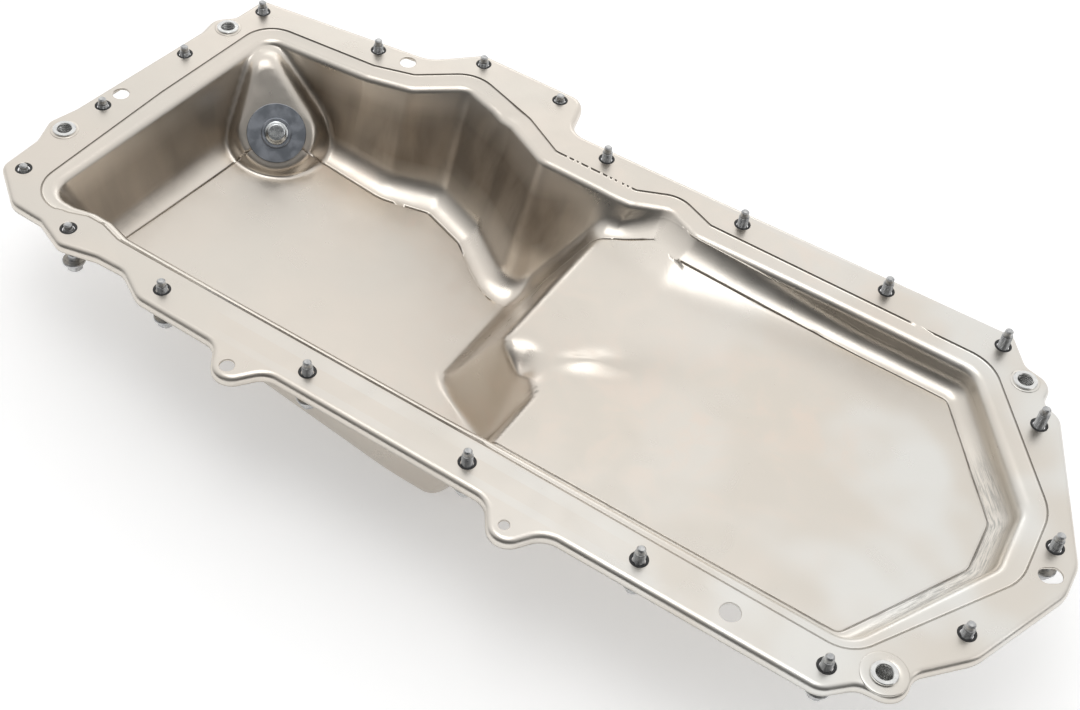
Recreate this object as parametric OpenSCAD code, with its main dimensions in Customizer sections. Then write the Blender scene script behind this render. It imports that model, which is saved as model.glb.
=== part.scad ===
// Engine oil pan, pressed from one sheet, with captive flange screws.
// Frame: the top of the flange is z = 0, the pan hangs below it, +X runs from the sump to the shallow end.

/* [Sheet] */
// Thickness of the pressed sheet
sheet_t = 1.5; // [1:0.1:2.2]
// Bend radius where the flange turns down into the pan
bend_r = 5; // [3:0.5:6]
// Depth of the coined band round the opening
band_drop = 0.6; // [0.3:0.1:1]
// Height of the turned-down lip at the outer edge
lip_h = 6; // [5:0.5:9]
// Outer bend radius of the lip
lip_r = 3.5; // [2.5:0.25:3.8]

/* [Opening] */
// Distance of the long straight wall from the frame's centre line
wall_near = 60.5; // [56:0.5:66]
// Distance of the opposite wall from the frame's centre line
wall_far = 128.8; // [124:0.2:136]
// Distance of the wall at the sump end
wall_left = 281; // [275:1:290]
// Distance of the wall at the shallow end
wall_right = 247; // [240:1:260]
// Reach of the side bulge of the sump
bulge_far = 156; // [152:1:162]

/* [Depths] */
// Depth of the flat shelf
shelf_depth = 18; // [15:0.5:24]
// Depth of the sump where its floor starts at the sump end
sump_depth = 50; // [44:1:56]
// Fall of the sump floor towards the step, in degrees
sump_fall = 8.9; // [6:0.1:11]
// Place of the step's upper edge beside the straight wall
step_near_x = 4; // [-4:1:10]
// Place of the step's upper edge beside the far wall
step_far_x = -30; // [-36:1:-24]
// Slope of the step beside the straight wall, in degrees
step_near_angle = 60; // [54:1:64]
// Slope of the step beside the far wall, in degrees
step_far_angle = 53; // [48:1:58]

/* [Flange] */
// Width of the flange along the straight wall
flange_near = 32.5; // [31:0.5:38]
// Width of the flange along the far wall
flange_far = 33; // [31:0.5:38]
// Width of the flange at the sump end
flange_left = 35.5; // [34:0.5:40]
// Width of the flange at the shallow end
flange_right = 34; // [33:0.5:40]

/* [Captive screws] */
// Diameter of the screw thread
screw_d = 6; // [5:0.5:6.5]
// Diameter of the pilot tip
pilot_d = 4.5; // [3.5:0.1:4.8]
// Length of the pilot tip
pilot_len = 3; // [2:0.5:4]
// Length from the tip to the seat of the head
screw_len = 26; // [22:1:32]
// Diameter of the head's flange
head_flange_d = 12.5; // [11:0.5:13]
// Thickness of the head's flange
head_flange_t = 1.5; // [1:0.1:2]
// Chamfer at the rim of the head's seat
head_edge = 0.5; // [0.2:0.1:0.8]
// Width across the flats of the head
head_af = 8; // [7:0.5:10]
// Height of the hexagon
head_hex_h = 5; // [3:0.5:6]
// Diameter of the screw holes
screw_hole_d = 9.2; // [8.6:0.1:10]
// Gap between a screw and its retaining ring
screw_gap = 0.3; // [0.2:0.05:0.4]
// Thickness of a retaining ring
retainer_t = 1.1; // [0.7:0.1:1.3]
// Clearance of a retaining ring in its hole
retainer_gap = 0.05; // [0.02:0.01:0.15]
// Chamfer of the pilot tip
pilot_chamfer = 0.7; // [0.4:0.1:1.2]

/* [Plain holes] */
// Diameter of the locating hole in the left ear
datum_hole_d = 7.8; // [7:0.1:9]
// Diameter of the hole in the right ear
ear_hole_d = 5.5; // [4.5:0.1:7]
// Diameter of the hole at the sump end
end_hole_d = 9.5; // [8:0.1:10.5]
// Diameter of the hole beside the bulge
side_hole_d = 9.8; // [8:0.1:10.5]
// Diameter of the hole in the near flange
near_hole_d = 10.3; // [9:0.1:11]
// Width of the slot at the shallow end
slot_w = 9; // [8:0.1:10]
// Distance between the slot's end centres
slot_travel = 3.4; // [2:0.1:5]

/* [Threaded inserts] */
// Diameter of the insert bore
insert_bore_d = 8; // [7:0.1:8.4]
// Outer diameter of the insert body
insert_body_d = 11; // [10.5:0.1:12]
// Diameter of the insert flange
insert_flange_d = 13; // [12.5:0.1:14]
// Thickness of the insert flange
insert_flange_t = 0.9; // [0.6:0.1:1.5]
// Length of the insert body below the sheet
insert_len = 12; // [9:0.5:16]
// Height of the upset collar under the sheet
insert_collar_h = 2; // [1:0.1:3]
// Diameter of the raised ring in the sheet under an insert
insert_ring_d = 16; // [15:0.5:18]
// Height of the raised ring
insert_ring_h = 0.4; // [0.2:0.1:0.8]
// Diameter of the raised ring at the near right corner
corner_ring_d = 23; // [20:0.5:24]

/* [Drain] */
// Radius of the flat round part of the drain pad
pad_r = 24; // [22:0.5:26]
// Radius of the pad's rounded edge as a height of blend
pad_edge = 9; // [6:0.5:12]
// Height of the pad's middle over the start of the sump floor
pad_lift = 17; // [15:0.5:19]
// Diameter of the washer on the inside
drain_washer_d = 35.5; // [32:0.5:38]
// Thickness of the washer on the inside
drain_washer_t = 1.6; // [1.2:0.1:2.5]
// Diameter of the collar on the washer
drain_collar_d = 18; // [17:0.5:20]
// Height of the collar over the washer
drain_collar_h = 2.2; // [1.5:0.1:4]
// Diameter of the drain thread
drain_d = 14; // [12:0.5:14.5]
// Diameter of the plug's end
plug_end_d = 11.4; // [10:0.1:11.8]
// Height of the plug's end above the collar
plug_end_h = 3.2; // [2:0.2:5]
// Diameter of the hole in the sheet
drain_hole_d = 15; // [14.8:0.1:16]
// Width across the flats of the plug head
plug_af = 17; // [16:0.5:19]
// Height of the plug's hexagon
plug_hex_h = 7; // [5:0.5:9]
// Diameter of the plug's flange
plug_flange_d = 23; // [22:0.5:26]
// Thickness of the plug's flange
plug_flange_t = 2.5; // [2:0.1:4]
// Thickness of the seal under the plug
seal_t = 1.5; // [1:0.1:2.5]
// Clearance in the drain thread
thread_gap = 0.05; // [0.02:0.01:0.15]

/* [Hidden] */
yn = -wall_near;
yf = wall_far;
xl = -wall_left;
xr = wall_right;
yb = bulge_far;

// Edges of the flange
near_edge = yn - flange_near;
far_edge = yf + flange_far;
left_edge = xl - flange_left;
right_edge = xr + flange_right;

// Sump floor: where its fall is measured from, and its slope
sump_x0 = xl + 23;
fall = tan(sump_fall);

// Where the step swings from its place beside the near wall to that beside the far wall
step_bend_y = 3;

// Far edge of the small facet beside the far wall
facet_start = [18.5, yf - 30.3];
facet_end = [100, yf - 11.8];
facet_corner = [0, yf - 21.8];
facet_slope = 0.43;

// Drain pad: middle of the round part, direction it faces and the pointed end of the teardrop
pad_c = [xl + 43, yf - 46.8, pad_lift - sump_depth];
pad_n = unit([0.47, -0.56, 0.68]);
pad_tip_at = [xl + 14, yf - 20.8, -8] - pad_c;
pad_tip = pad_tip_at - pad_n * (pad_tip_at * pad_n);
pad_tip_len = 38;
pad_tip_r = 8;
pad_skirt_angle = 60;
pad_foot = 9;

bend_segments = 3;
foot_segments = 4;
lip_segments = 2;
round_fn = 96;

// One row for each corner of the opening, counter-clockwise from the corner at the sump end of the
// straight wall: x, y, corner radius, arc steps, edge steps, the foot's shift in x and y, the foot's
// corner radius, the band's width, the bend's extra radius and the length of the foot's fillet
wall_rows = [
    [xl, yn + 0.5, 12, 6, 2, 11, 18, 16, 9, 0, 11],
    [xl + 19, yn + 0.5, 6, 2, 1, 7, 17, 10, 7, 0, 10],
    [xl + 31, yn + 4, 10, 1, 1, 7, 11.5, 12, 6, 0, 10],
    [xl + 43, yn + 4, 10, 1, 1, 10, 8.5, 12, 6, 0, 11],
    [xl + 57, yn, 10, 2, 4, 14, 8.5, 12, 6, 0, 13],
    [-150, yn, 0, 0, 4, 0, 2.5, 0, 6, 0, 14],
    [step_near_x - 84, yn, 0, 0, 12, 0, 2, 0, 6, 0, 14],
    [step_near_x + 6, yn, 0, 0, 12, 0, 3, 0, 6, 0, 9],
    [xr - 41, yn, 14, 4, 6, -2.5, 3.5, 14, 8, 1, 9],
    [xr, 20, 16, 2, 1, -2.5, 0, 16, 13, 2, 9],
    [xr - 2.5, 58.5, 16, 2, 3, -2.5, -1.5, 16, 13, 2, 9],
    [xr - 56.5, yf, 14, 4, 2, -2, -2.8, 14, 12, 1, 9],
    [100, yf, 0, 0, 2, 0, -2.8, 0, 12, 0, 8.5],
    [22, yf, 16, 2, 1, -2, -6, 12, 12, 0, 8],
    [0, yf + 10.7, 9, 3, 1, 0, -10, 9, 11, 0, 7],
    [-20, yf - 0.8, 16, 2, 8, -4, -7, 12, 12, 0, 8],
    [-80, yf - 0.8, 18, 2, 2, 2, -36, 18, 12, 0, 13],
    [-110, yb - 13, 16, 2, 2, -3, -27, 16, 13, 0, 13],
    [-150, yb, 10, 2, 2, 4, -32, 14, 13, 0, 13],
    [-176, yb - 22, 16, 2, 1, 0, -22, 16, 13, 0, 13],
    [-204, yf - 2.8, 20, 2, 5, -2, -15, 20, 12, 0, 13],
    [xl + 9, yf - 9.3, 9, 6, 7, 10, -12.5, 16, 12, 0, 11],
    [xl + 4.6, 40, 0, 0, 5, 10.3, 0, 0, 12, 0, 11],
];
// Steps along the long sides and the ends of the floor's grid
long_steps = 48;
end_steps = 18;
// Grid lines that follow the step's edge: first and last of them, and how many lines they fade over
step_lines = [26, 34];
step_fade = 8;

// One row for each corner of the flange's outer edge: x, y, corner radius
flange_rows = [
    [left_edge + 1.5, near_edge + 33, 8],
    [xl - 8, near_edge + 14, 14],
    [xl + 13, near_edge + 13.5, 10],
    [xl + 33, near_edge + 5.5, 10],
    [xl + 55, near_edge + 11, 15],
    [xl + 73, near_edge + 11.5, 12],
    [-190, near_edge + 1.2, 15],
    [-138, near_edge + 0.5, 10],
    [-122, near_edge - 23, 11],
    [-104, near_edge + 0.5, 12],
    [28, near_edge, 12],
    [45, near_edge - 24, 11],
    [62, near_edge, 14],
    [xr - 41, near_edge, 12],
    [xr - 28, near_edge + 13, 10],
    [xr - 7, near_edge + 15, 11],
    [xr - 9, near_edge + 33, 10],
    [xr + 12, near_edge + 57, 25],
    [right_edge, 22, 20],
    [right_edge - 1, 42, 20],
    [xr - 7, far_edge - 35.8, 10],
    [xr - 18, far_edge - 30.8, 6],
    [xr - 19, far_edge - 15.8, 10],
    [xr - 35.2, far_edge - 12.1, 8],
    [xr - 48.7, far_edge + 4.9, 6],
    [-80, far_edge - 1.3, 12],
    [-88, yb + 33.5, 11],
    [-160.3, yb + 32.8, 4.5],
    [-184, far_edge + 2.5, 20],
    [xl - 18.3, far_edge - 14.4, 4.5],
    [xl - 20.3, far_edge - 38.8, 6],
    [xl - 29.2, far_edge - 48.8, 10],
    [xl - 26.9, far_edge - 62.8, 8],
    [left_edge - 0.3, 0, 10],
    [left_edge - 4.5, -17, 7],
    [left_edge + 1.5, -33, 8],
];

// One row for each captive screw: x, y and how far its tip stands over the flange
screw_rows = [
    [xl - 22, yn + 5.5, 2.5],
    [xl + 29.5, yn - 14.5, 3],
    [-182.7, yn - 19, 6.5],
    [-88, yn - 19, 7.5],
    [8.7, yn - 19, 9],
    [105.3, yn - 19, 9],
    [xr - 44.3, yn - 19, 8],
    [xr + 2, -26, 8],
    [xr + 19, 45, 10],
    [xr - 15, yf - 14.8, 13],
    [xr - 51, yf + 26.2, 12],
    [127.5, yf + 25.2, 10],
    [39, yf + 23.2, 10],
    [-50.5, yf + 23.2, 9],
    [-100, yb + 24, 4],
    [-155, yb + 24, 5.5],
    [-213, yf + 22.2, 7.6],
    [xl - 10, yf + 8.2, 7.5],
    [xl - 20, 76, 5.5],
    [xl - 25, 11, 5],
];

// One row for each threaded insert: x, y and the diameter of its raised ring
insert_rows = [
    [xl - 16, yf - 17.8, insert_ring_d],
    [xl - 27, -18, insert_ring_d],
    [xr - 32, yf + 9.2, insert_ring_d],
    [xr - 21, yn - 7.5, corner_ring_d],
];

// One row for each plain round hole: x, y and diameter
hole_rows = [
    [-122.6, near_edge - 7, datum_hole_d],
    [43.5, near_edge - 7, ear_hole_d],
    [xl - 24, 25, end_hole_d],
    [-192, yf + 23.7, side_hole_d],
    [154, yn - 19.5, near_hole_d],
];
// The locating hole in the left ear, on the flange's top face, is the origin of the part
datum = [hole_rows[0][0], hole_rows[0][1], 0];
slot_at = [xr + 23, 28];
slot_turn = 35;

function screw_name(i) = str("screw_", i < 9 ? "0" : "", i + 1);
function insert_name(i) = str("insert_", i + 1);
screw_ids = [for (i = [0:len(screw_rows) - 1]) i];
insert_ids = [for (i = [0:len(insert_rows) - 1]) i];

// Plain vector and blend functions

function unit(v) = v / norm(v);
function mix(a, b, s) = a + (b - a) * s;
function ease(x) = let (t = min(1, max(0, x))) t * t * (3 - 2 * t);
function soft_max(a, b, k) = let (h = max(0, k - abs(a - b)) / k) max(a, b) + h * h * k / 4;
function soft_min(a, b, k) = -soft_max(-a, -b, k);
function dome(u, v) = exp(-(u * u + v * v) / 2);
function xy(p) = [p[0], p[1]];

// Arc of radius r that rounds the corner q between p and s, in two or three dimensions
function corner_arc(p, q, s, r, n) =
    n == 0 ? [q] :
    let (
        a = unit(p - q),
        b = unit(s - q),
        half = acos(a * b) / 2,
        c = q + unit(a + b) * r / sin(half),
        u = q + a * r / tan(half) - c,
        w = q + b * r / tan(half) - c,
        sweep = 180 - 2 * half
    )
    [for (k = [0:n]) c + (u * sin((1 - k / n) * sweep) + w * sin(k / n * sweep)) / sin(sweep)];

// Closed outline with rounded corners: corners are [x, y], with a radius, arc steps and edge steps each
function rounded(corners, radii, arcs, edges) =
    let (
        n = len(corners),
        bends = [for (i = [0:n - 1]) corner_arc(
            corners[(i + n - 1) % n], corners[i], corners[(i + 1) % n], radii[i], arcs[i])]
    )
    [for (i = [0:n - 1]) let (a = bends[i], b = bends[(i + 1) % n])
        each concat(a, [for (k = [1:1:edges[i] - 1]) mix(a[len(a) - 1], b[0], k / edges[i])])];

// One value at each corner, carried along the same outline
function carried(values, arcs, edges) =
    [for (i = [0:len(values) - 1]) let (a = values[i], b = values[(i + 1) % len(values)])
        each concat([for (k = [0:arcs[i]]) a], [for (k = [1:1:edges[i] - 1]) mix(a, b, k / edges[i])])];

function column(rows, k) = [for (r = rows) r[k]];
function turned(list, k) = [for (i = [0:len(list) - 1]) list[(i + k) % len(list)]];
function inward(ring, i) =
    let (n = len(ring), d = xy(ring[(i + 1) % n]) - xy(ring[(i + n - 1) % n])) unit([-d[1], d[0]]);

// Height of the pressed floor over the plan

function step_share(y) = ease((y - step_bend_y) / 30 + 0.5);
function step_edge(y) = mix(step_near_x, step_far_x, step_share(y));
function step_slope(y) = mix(tan(step_near_angle), tan(step_far_angle), step_share(y));
function beyond(x, y, a, b) = let (d = unit(b - a)) (y - a[1]) * d[0] - (x - a[0]) * d[1];
function facet_rise(x, y) =
    let (d = min(beyond(x, y, facet_start, facet_end), beyond(x, y, facet_corner, facet_start)))
    soft_max(0, d * facet_slope, 3);
// Pocket pressed into the step, and the ridge that trails from it over the shelf
function pocket(x, y) = 9 * dome((x - step_far_x - 16) / 7, (y - 4) / 7);
function ridge(x, y) =
    let (u = (x - step_near_x - 16) * 0.85 + (y - 27) * 0.53, v = (y - 27) * 0.85 - (x - step_near_x - 16) * 0.53)
    3 * dome(u / 13, v / 4.5);
function sump_z(x) = -sump_depth - fall * (x - sump_x0);
function floor_z(x, y) =
    let (
        shelf = -shelf_depth + facet_rise(x, y) + ridge(x, y),
        slope = -shelf_depth + step_slope(y) * (x - step_edge(y)),
        top = soft_min(slope, shelf, 8),
        foot_blend = mix(38, 20, step_share(y))
    )
    soft_max(top, sump_z(x), foot_blend) - pocket(x, y);

// Drain pad: points are pushed out along the pad's direction until they lie on it

function pad_outline(p) =
    let (
        h = pad_tip_len,
        along = p * unit(pad_tip),
        across = sqrt(max(0, p * p - along * along)),
        b = (pad_r - pad_tip_r) / h,
        a = sqrt(1 - b * b),
        k = along * a - across * b
    )
    k < 0 ? norm(p) - pad_r :
    k > a * h ? norm([across, along - h]) - pad_tip_r :
    across * a + along * b - pad_r;
function on_pad(p, under) =
    let (
        d = p - pad_c,
        a = d * pad_n,
        out = pad_outline(d - pad_n * a) + under * tan(pad_skirt_angle / 2),
        pad = -under - soft_max(0, tan(pad_skirt_angle) * out, pad_edge)
    )
    p + pad_n * (soft_max(a, pad, pad_foot) - a);

// Small dents of the press: a long bump on the bulge's wall and a dimple in the rim over it
bump_at = [-143, yb - 23, -15];
bump_n = unit([0.25, -0.9, 0.35]);
dimple_at = [-122, yb - 11, 0];
function dented(p) =
    let (b = p - bump_at, m = p - dimple_at)
    p + bump_n * 4 * dome(norm([b[0], b[1]]) / 6, b[2] / 10) - [0, 0, 1.5] * dome(norm([m[0] - m[1] * 0.6, 0]) / 5, m[1] / 7);

// A point of the sheet's inner face, and the point of its outer face behind it, once pad and dents are pressed in
function pressed(p) = dented(on_pad(p, 0));
function pressed_back(p, n) = dented(on_pad(p - n * sheet_t, sheet_t));
function floor_point(x, y) = [x, y, floor_z(x, y)];
function floor_slope(x, y) =
    let (e = 0.5)
    [floor_z(x + e, y) - floor_z(x - e, y), floor_z(x, y + e) - floor_z(x, y - e)];
function floor_normal(x, y) = let (g = floor_slope(x, y)) unit([-g[0], -g[1], 1]);

// Ribs of the wall: each runs from the coined band over the bend and down to the floor

wall_arcs = column(wall_rows, 3);
wall_edges = column(wall_rows, 4);
wall_turn = wall_arcs[0] / 2;
function wall_value(k) = turned(carried(column(wall_rows, k), wall_arcs, wall_edges), wall_turn);
opening = turned(rounded([for (r = wall_rows) [r[0], r[1]]], column(wall_rows, 2), wall_arcs, wall_edges), wall_turn);
foot = turned(rounded(
    [for (r = wall_rows) [r[0] + r[5], r[1] + r[6]]], column(wall_rows, 7), wall_arcs, wall_edges), wall_turn);
band_w = wall_value(8);
bend_more = wall_value(9);
foot_len = wall_value(10);
rib_count = len(opening);
rib_ids = [for (i = [0:rib_count - 1]) i];
floor_edge = [for (i = rib_ids) foot[i] + inward(foot, i) * foot_len[i]];
band_edge = [for (i = rib_ids) opening[i] - inward(opening, i) * band_w[i]];

// Virtual corner of wall and floor, placed so that the floor's tangent runs through it
function foot_corner(i) =
    let (
        b = floor_edge[i]
    )
    [foot[i][0], foot[i][1], floor_z(b[0], b[1]) + floor_slope(b[0], b[1]) * (foot[i] - b)];
function rib(i) =
    let (
        q = inward(opening, i),
        top = [opening[i][0], opening[i][1], -band_drop],
        low = foot_corner(i),
        edge = floor_point(floor_edge[i][0], floor_edge[i][1]),
        half = acos(unit(top - low) * unit(edge - low)) / 2,
        foot_r = norm(edge - low) * tan(half),
        bend = corner_arc(top - [q[0], q[1], 0], top, low, bend_r + bend_more[i], bend_segments),
        fillet = corner_arc(top, low, edge, foot_r, foot_segments)
    )
    concat(
        [
            [band_edge[i][0], band_edge[i][1], 0],
            [band_edge[i][0] + q[0] * band_drop * 1.5, band_edge[i][1] + q[1] * band_drop * 1.5, -band_drop],
        ],
        bend,
        [mix(bend[bend_segments], fillet[0], 1 / 3), mix(bend[bend_segments], fillet[0], 2 / 3)],
        fillet
    );
ribs = [for (i = rib_ids) rib(i)];
rib_len = len(ribs[0]);
function rib_normal(i, j) =
    j == rib_len - 1 ? floor_normal(floor_edge[i][0], floor_edge[i][1]) :
    unit(cross(
        ribs[(i + 1) % rib_count][j] - ribs[(i + rib_count - 1) % rib_count][j],
        ribs[i][j + 1] - ribs[i][j - 1]));

// Floor grid between the four stretches of the floor's edge

corner_1 = long_steps;
corner_2 = long_steps + end_steps;
corner_3 = 2 * long_steps + end_steps;
function grid_xy(u, v) =
    let (
        s = u / long_steps,
        t = v / end_steps,
        near = floor_edge[u],
        far = floor_edge[corner_3 - u],
        left = floor_edge[(rib_count - v) % rib_count],
        right = floor_edge[corner_1 + v]
    )
    let (
        q = near * (1 - t) + far * t + left * (1 - s) + right * s
            - floor_edge[0] * (1 - s) * (1 - t) - floor_edge[corner_1] * s * (1 - t)
            - floor_edge[corner_2] * s * t - floor_edge[corner_3] * (1 - s) * t,
        w = ease(1 + (u - step_lines[0]) / step_fade) * ease(1 + (step_lines[1] - u) / step_fade),
        straight = mix(step_near_x, step_far_x, (q[1] - near[1]) / (far[1] - near[1]))
    )
    q + [(step_edge(q[1]) - straight) * w, 0] - [0, crowd(q[1]) * w];

// Draws the grid's lines together where the step swings over
function crowd(y) = abs(y - step_bend_y) > 40 ? 0 : 7 * sin((y - step_bend_y) * 4.5);

// Number of the point at grid place u, v: on the grid's rim it is the last point of a rib
function grid_id(u, v, first) =
    v == 0 ? u * rib_len + rib_len - 1 :
    u == long_steps ? (corner_1 + v) * rib_len + rib_len - 1 :
    v == end_steps ? (corner_3 - u) * rib_len + rib_len - 1 :
    u == 0 ? (rib_count - v) * rib_len + rib_len - 1 :
    first + (u - 1) * (end_steps - 1) + v - 1;

// Everything is drawn about the middle of the opening and then counted from the locating hole
module from_datum() {
    translate(-datum) children();
}

// The pressed pan inside the flange, as one closed skin of the sheet's thickness
module bowl() {
    rib_points = [for (i = rib_ids) for (j = [0:rib_len - 1]) j == 0 ? ribs[i][j] : pressed(ribs[i][j])];
    rib_backs = [for (i = rib_ids) for (j = [0:rib_len - 1])
        j == 0 ? ribs[i][j] - [0, 0, sheet_t] : pressed_back(ribs[i][j], rib_normal(i, j))];
    inner = [for (u = [1:long_steps - 1]) for (v = [1:end_steps - 1]) grid_xy(u, v)];
    floor_points = [for (g = inner) pressed(floor_point(g[0], g[1]))];
    floor_backs = [for (g = inner) pressed_back(floor_point(g[0], g[1]), floor_normal(g[0], g[1]))];
    first = len(rib_points);
    half = first + len(floor_points);
    tops = concat(
        [for (i = rib_ids) for (j = [0:rib_len - 2])
            [i * rib_len + j, (i + 1) % rib_count * rib_len + j,
             (i + 1) % rib_count * rib_len + j + 1, i * rib_len + j + 1]],
        [for (u = [0:long_steps - 1]) for (v = [0:end_steps - 1])
            [grid_id(u, v, first), grid_id(u + 1, v, first), grid_id(u + 1, v + 1, first), grid_id(u, v + 1, first)]]
    );
    rim = [for (i = rib_ids)
        [i * rib_len, i * rib_len + half, (i + 1) % rib_count * rib_len + half, (i + 1) % rib_count * rib_len]];
    quads = concat(
        [for (q = tops) [q[3], q[2], q[1], q[0]]],
        [for (q = tops) [q[0] + half, q[1] + half, q[2] + half, q[3] + half]],
        [for (q = rim) [q[3], q[2], q[1], q[0]]]
    );
    polyhedron(
        points = concat(rib_points, floor_points, rib_backs, floor_backs),
        faces = [for (q = quads) each [[q[0], q[1], q[2]], [q[0], q[2], q[3]]]]
    );
}

// Outer edge of the flange, with as many arc steps as each corner turns
function turn_steps(rows, i) =
    let (
        n = len(rows),
        a = unit(xy(rows[i]) - xy(rows[(i + n - 1) % n])),
        b = unit(xy(rows[(i + 1) % n]) - xy(rows[i]))
    )
    max(1, ceil(acos(min(1, a * b)) / 18));
outer_edge = rounded(
    [for (r = flange_rows) xy(r)],
    column(flange_rows, 2),
    [for (i = [0:len(flange_rows) - 1]) turn_steps(flange_rows, i)],
    [for (r = flange_rows) 1]
);
plate_edge = [for (i = [0:len(outer_edge) - 1]) outer_edge[i] + inward(outer_edge, i) * lip_r];

// The lip turned down round the flange, swept along its outer edge
module lip() {
    n = len(outer_edge);
    back_r = lip_r - sheet_t;
    profile = concat(
        [for (k = [0:lip_segments]) let (a = 90 * k / lip_segments) lip_r * [1 - sin(a), cos(a) - 1]],
        [[0, -lip_h], [sheet_t, -lip_h]],
        [for (k = [0:lip_segments - 1]) let (a = 90 * k / lip_segments)
            [lip_r - back_r * cos(a), back_r * sin(a) - lip_r]],
        [[lip_r, -sheet_t]]
    );
    m = len(profile);
    points = [for (i = [0:n - 1]) let (q = inward(outer_edge, i)) for (p = profile)
        [outer_edge[i][0] + q[0] * p[0], outer_edge[i][1] + q[1] * p[0], p[1]]];
    quads = [for (i = [0:n - 1]) for (j = [0:m - 1])
        [i * m + j, (i + 1) % n * m + j, (i + 1) % n * m + (j + 1) % m, i * m + (j + 1) % m]];
    polyhedron(
        points = points,
        faces = [for (q = quads) each [[q[0], q[1], q[2]], [q[0], q[2], q[3]]]]
    );
}

// The flat of the flange, between the coined band and the lip
module plate() {
    translate([0, 0, -sheet_t]) linear_extrude(height = sheet_t) difference() {
        polygon(plate_edge);
        polygon(band_edge);
    }
}

module slot_cut() {
    translate([slot_at[0], slot_at[1], -sheet_t - 1]) rotate(slot_turn) {
        for (side = [-1, 1]) {
            translate([side * slot_travel / 2, 0, 0]) cylinder(d = slot_w, h = sheet_t + 2, $fn = round_fn);
        }
        translate([-slot_travel / 2, -slot_w / 2, 0]) cube([slot_travel, slot_w, sheet_t + 2]);
    }
}

// Turns what is drawn along +Z so that it stands on the drain pad, z = 0 on the pad's inner face
module on_drain() {
    translate(pad_c)
        rotate([0, acos(pad_n[2]), atan2(pad_n[1], pad_n[0])])
            children();
}

module pan_shell() {
    from_datum() color([0.80, 0.78, 0.74]) difference() {
        union() {
            bowl();
            plate();
            lip();
            for (r = insert_rows) {
                translate([r[0], r[1], -sheet_t / 2]) cylinder(d = r[2], h = sheet_t / 2 + insert_ring_h, $fn = round_fn);
            }
        }
        for (r = insert_rows) {
            translate([r[0], r[1], -sheet_t - 1]) cylinder(d = insert_body_d, h = sheet_t + 3, $fn = round_fn);
        }
        for (r = screw_rows) {
            translate([r[0], r[1], -sheet_t - 1]) cylinder(d = screw_hole_d, h = sheet_t + 2, $fn = round_fn);
        }
        for (r = hole_rows) {
            translate([r[0], r[1], -sheet_t - 1]) cylinder(d = r[2], h = sheet_t + 2, $fn = round_fn);
        }
        slot_cut();
        on_drain() translate([0, 0, -sheet_t - 1]) cylinder(d = drain_hole_d, h = sheet_t + 2, $fn = round_fn);
    }
}

// Small rings in the screw holes that keep the screws from falling out
module screw_retainers() {
    from_datum() color([0.16, 0.16, 0.17]) for (r = screw_rows) {
        translate([r[0], r[1], -(sheet_t + retainer_t) / 2]) difference() {
            cylinder(d = screw_hole_d - 2 * retainer_gap, h = retainer_t, $fn = round_fn);
            translate([0, 0, -1]) cylinder(d = screw_d + 2 * screw_gap, h = retainer_t + 2, $fn = round_fn);
        }
    }
}

// Captive flange screw, thread end up, with its tip at the height that it hangs at
module screw(i) {
    r = screw_rows[i];
    seat = -screw_len;
    head = seat - head_flange_t;
    from_datum() color([0.62, 0.62, 0.63]) translate([r[0], r[1], r[2]]) {
        rotate_extrude($fn = round_fn) polygon([
            [0, 0],
            [0, head],
            [head_flange_d / 2, head],
            [head_flange_d / 2, seat - head_edge],
            [head_flange_d / 2 - head_edge, seat],
            [screw_d / 2, seat],
            [screw_d / 2, -pilot_len],
            [pilot_d / 2, -pilot_len],
            [pilot_d / 2, -pilot_chamfer],
            [pilot_d / 2 - pilot_chamfer, 0],
        ]);
        translate([0, 0, head - head_hex_h])
            cylinder(d = head_af / cos(30), h = head_hex_h + head_flange_t / 2, $fn = 6);
    }
}

// Threaded insert clinched in the sheet: flange on top, upset collar and body below
module insert(i) {
    r = insert_rows[i];
    low = -sheet_t - insert_len;
    from_datum() color([0.72, 0.72, 0.74]) translate([r[0], r[1], 0])
        rotate_extrude($fn = round_fn) polygon([
            [insert_bore_d / 2, low],
            [insert_body_d / 2, low],
            [insert_body_d / 2, -sheet_t - insert_collar_h],
            [insert_flange_d / 2, -sheet_t - insert_collar_h],
            [insert_flange_d / 2, -sheet_t],
            [insert_body_d / 2, -sheet_t],
            [insert_body_d / 2, insert_ring_h],
            [insert_flange_d / 2, insert_ring_h],
            [insert_flange_d / 2, insert_ring_h + insert_flange_t],
            [insert_bore_d / 2, insert_ring_h + insert_flange_t],
        ]);
}

// Washer with a collar that carries the drain thread, on the inside of the pad
module drain_nut() {
    from_datum() color([0.55, 0.58, 0.64]) on_drain() difference() {
        union() {
            cylinder(d = drain_washer_d, h = drain_washer_t, $fn = round_fn);
            cylinder(d = drain_collar_d, h = drain_washer_t + drain_collar_h, $fn = round_fn);
        }
        translate([0, 0, -1])
            cylinder(d = drain_d, h = drain_washer_t + drain_collar_h + 2, $fn = round_fn);
    }
}

// Drain plug, screwed in from outside
module drain_plug() {
    seat = -sheet_t - seal_t;
    head = seat - plug_flange_t;
    collar_top = drain_washer_t + drain_collar_h;
    thread_r = drain_d / 2 - thread_gap;
    from_datum() color([0.60, 0.64, 0.66]) on_drain() {
        rotate_extrude($fn = round_fn) polygon([
            [0, collar_top + plug_end_h],
            [0, head],
            [plug_flange_d / 2, head],
            [plug_flange_d / 2, seat],
            [thread_r, seat],
            [thread_r, collar_top],
            [plug_end_d / 2, collar_top],
            [plug_end_d / 2, collar_top + plug_end_h - pilot_chamfer],
            [plug_end_d / 2 - pilot_chamfer, collar_top + plug_end_h],
        ]);
        translate([0, 0, head - plug_hex_h])
            cylinder(d = plug_af / cos(30), h = plug_hex_h + plug_flange_t / 2, $fn = 6);
    }
}

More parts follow.
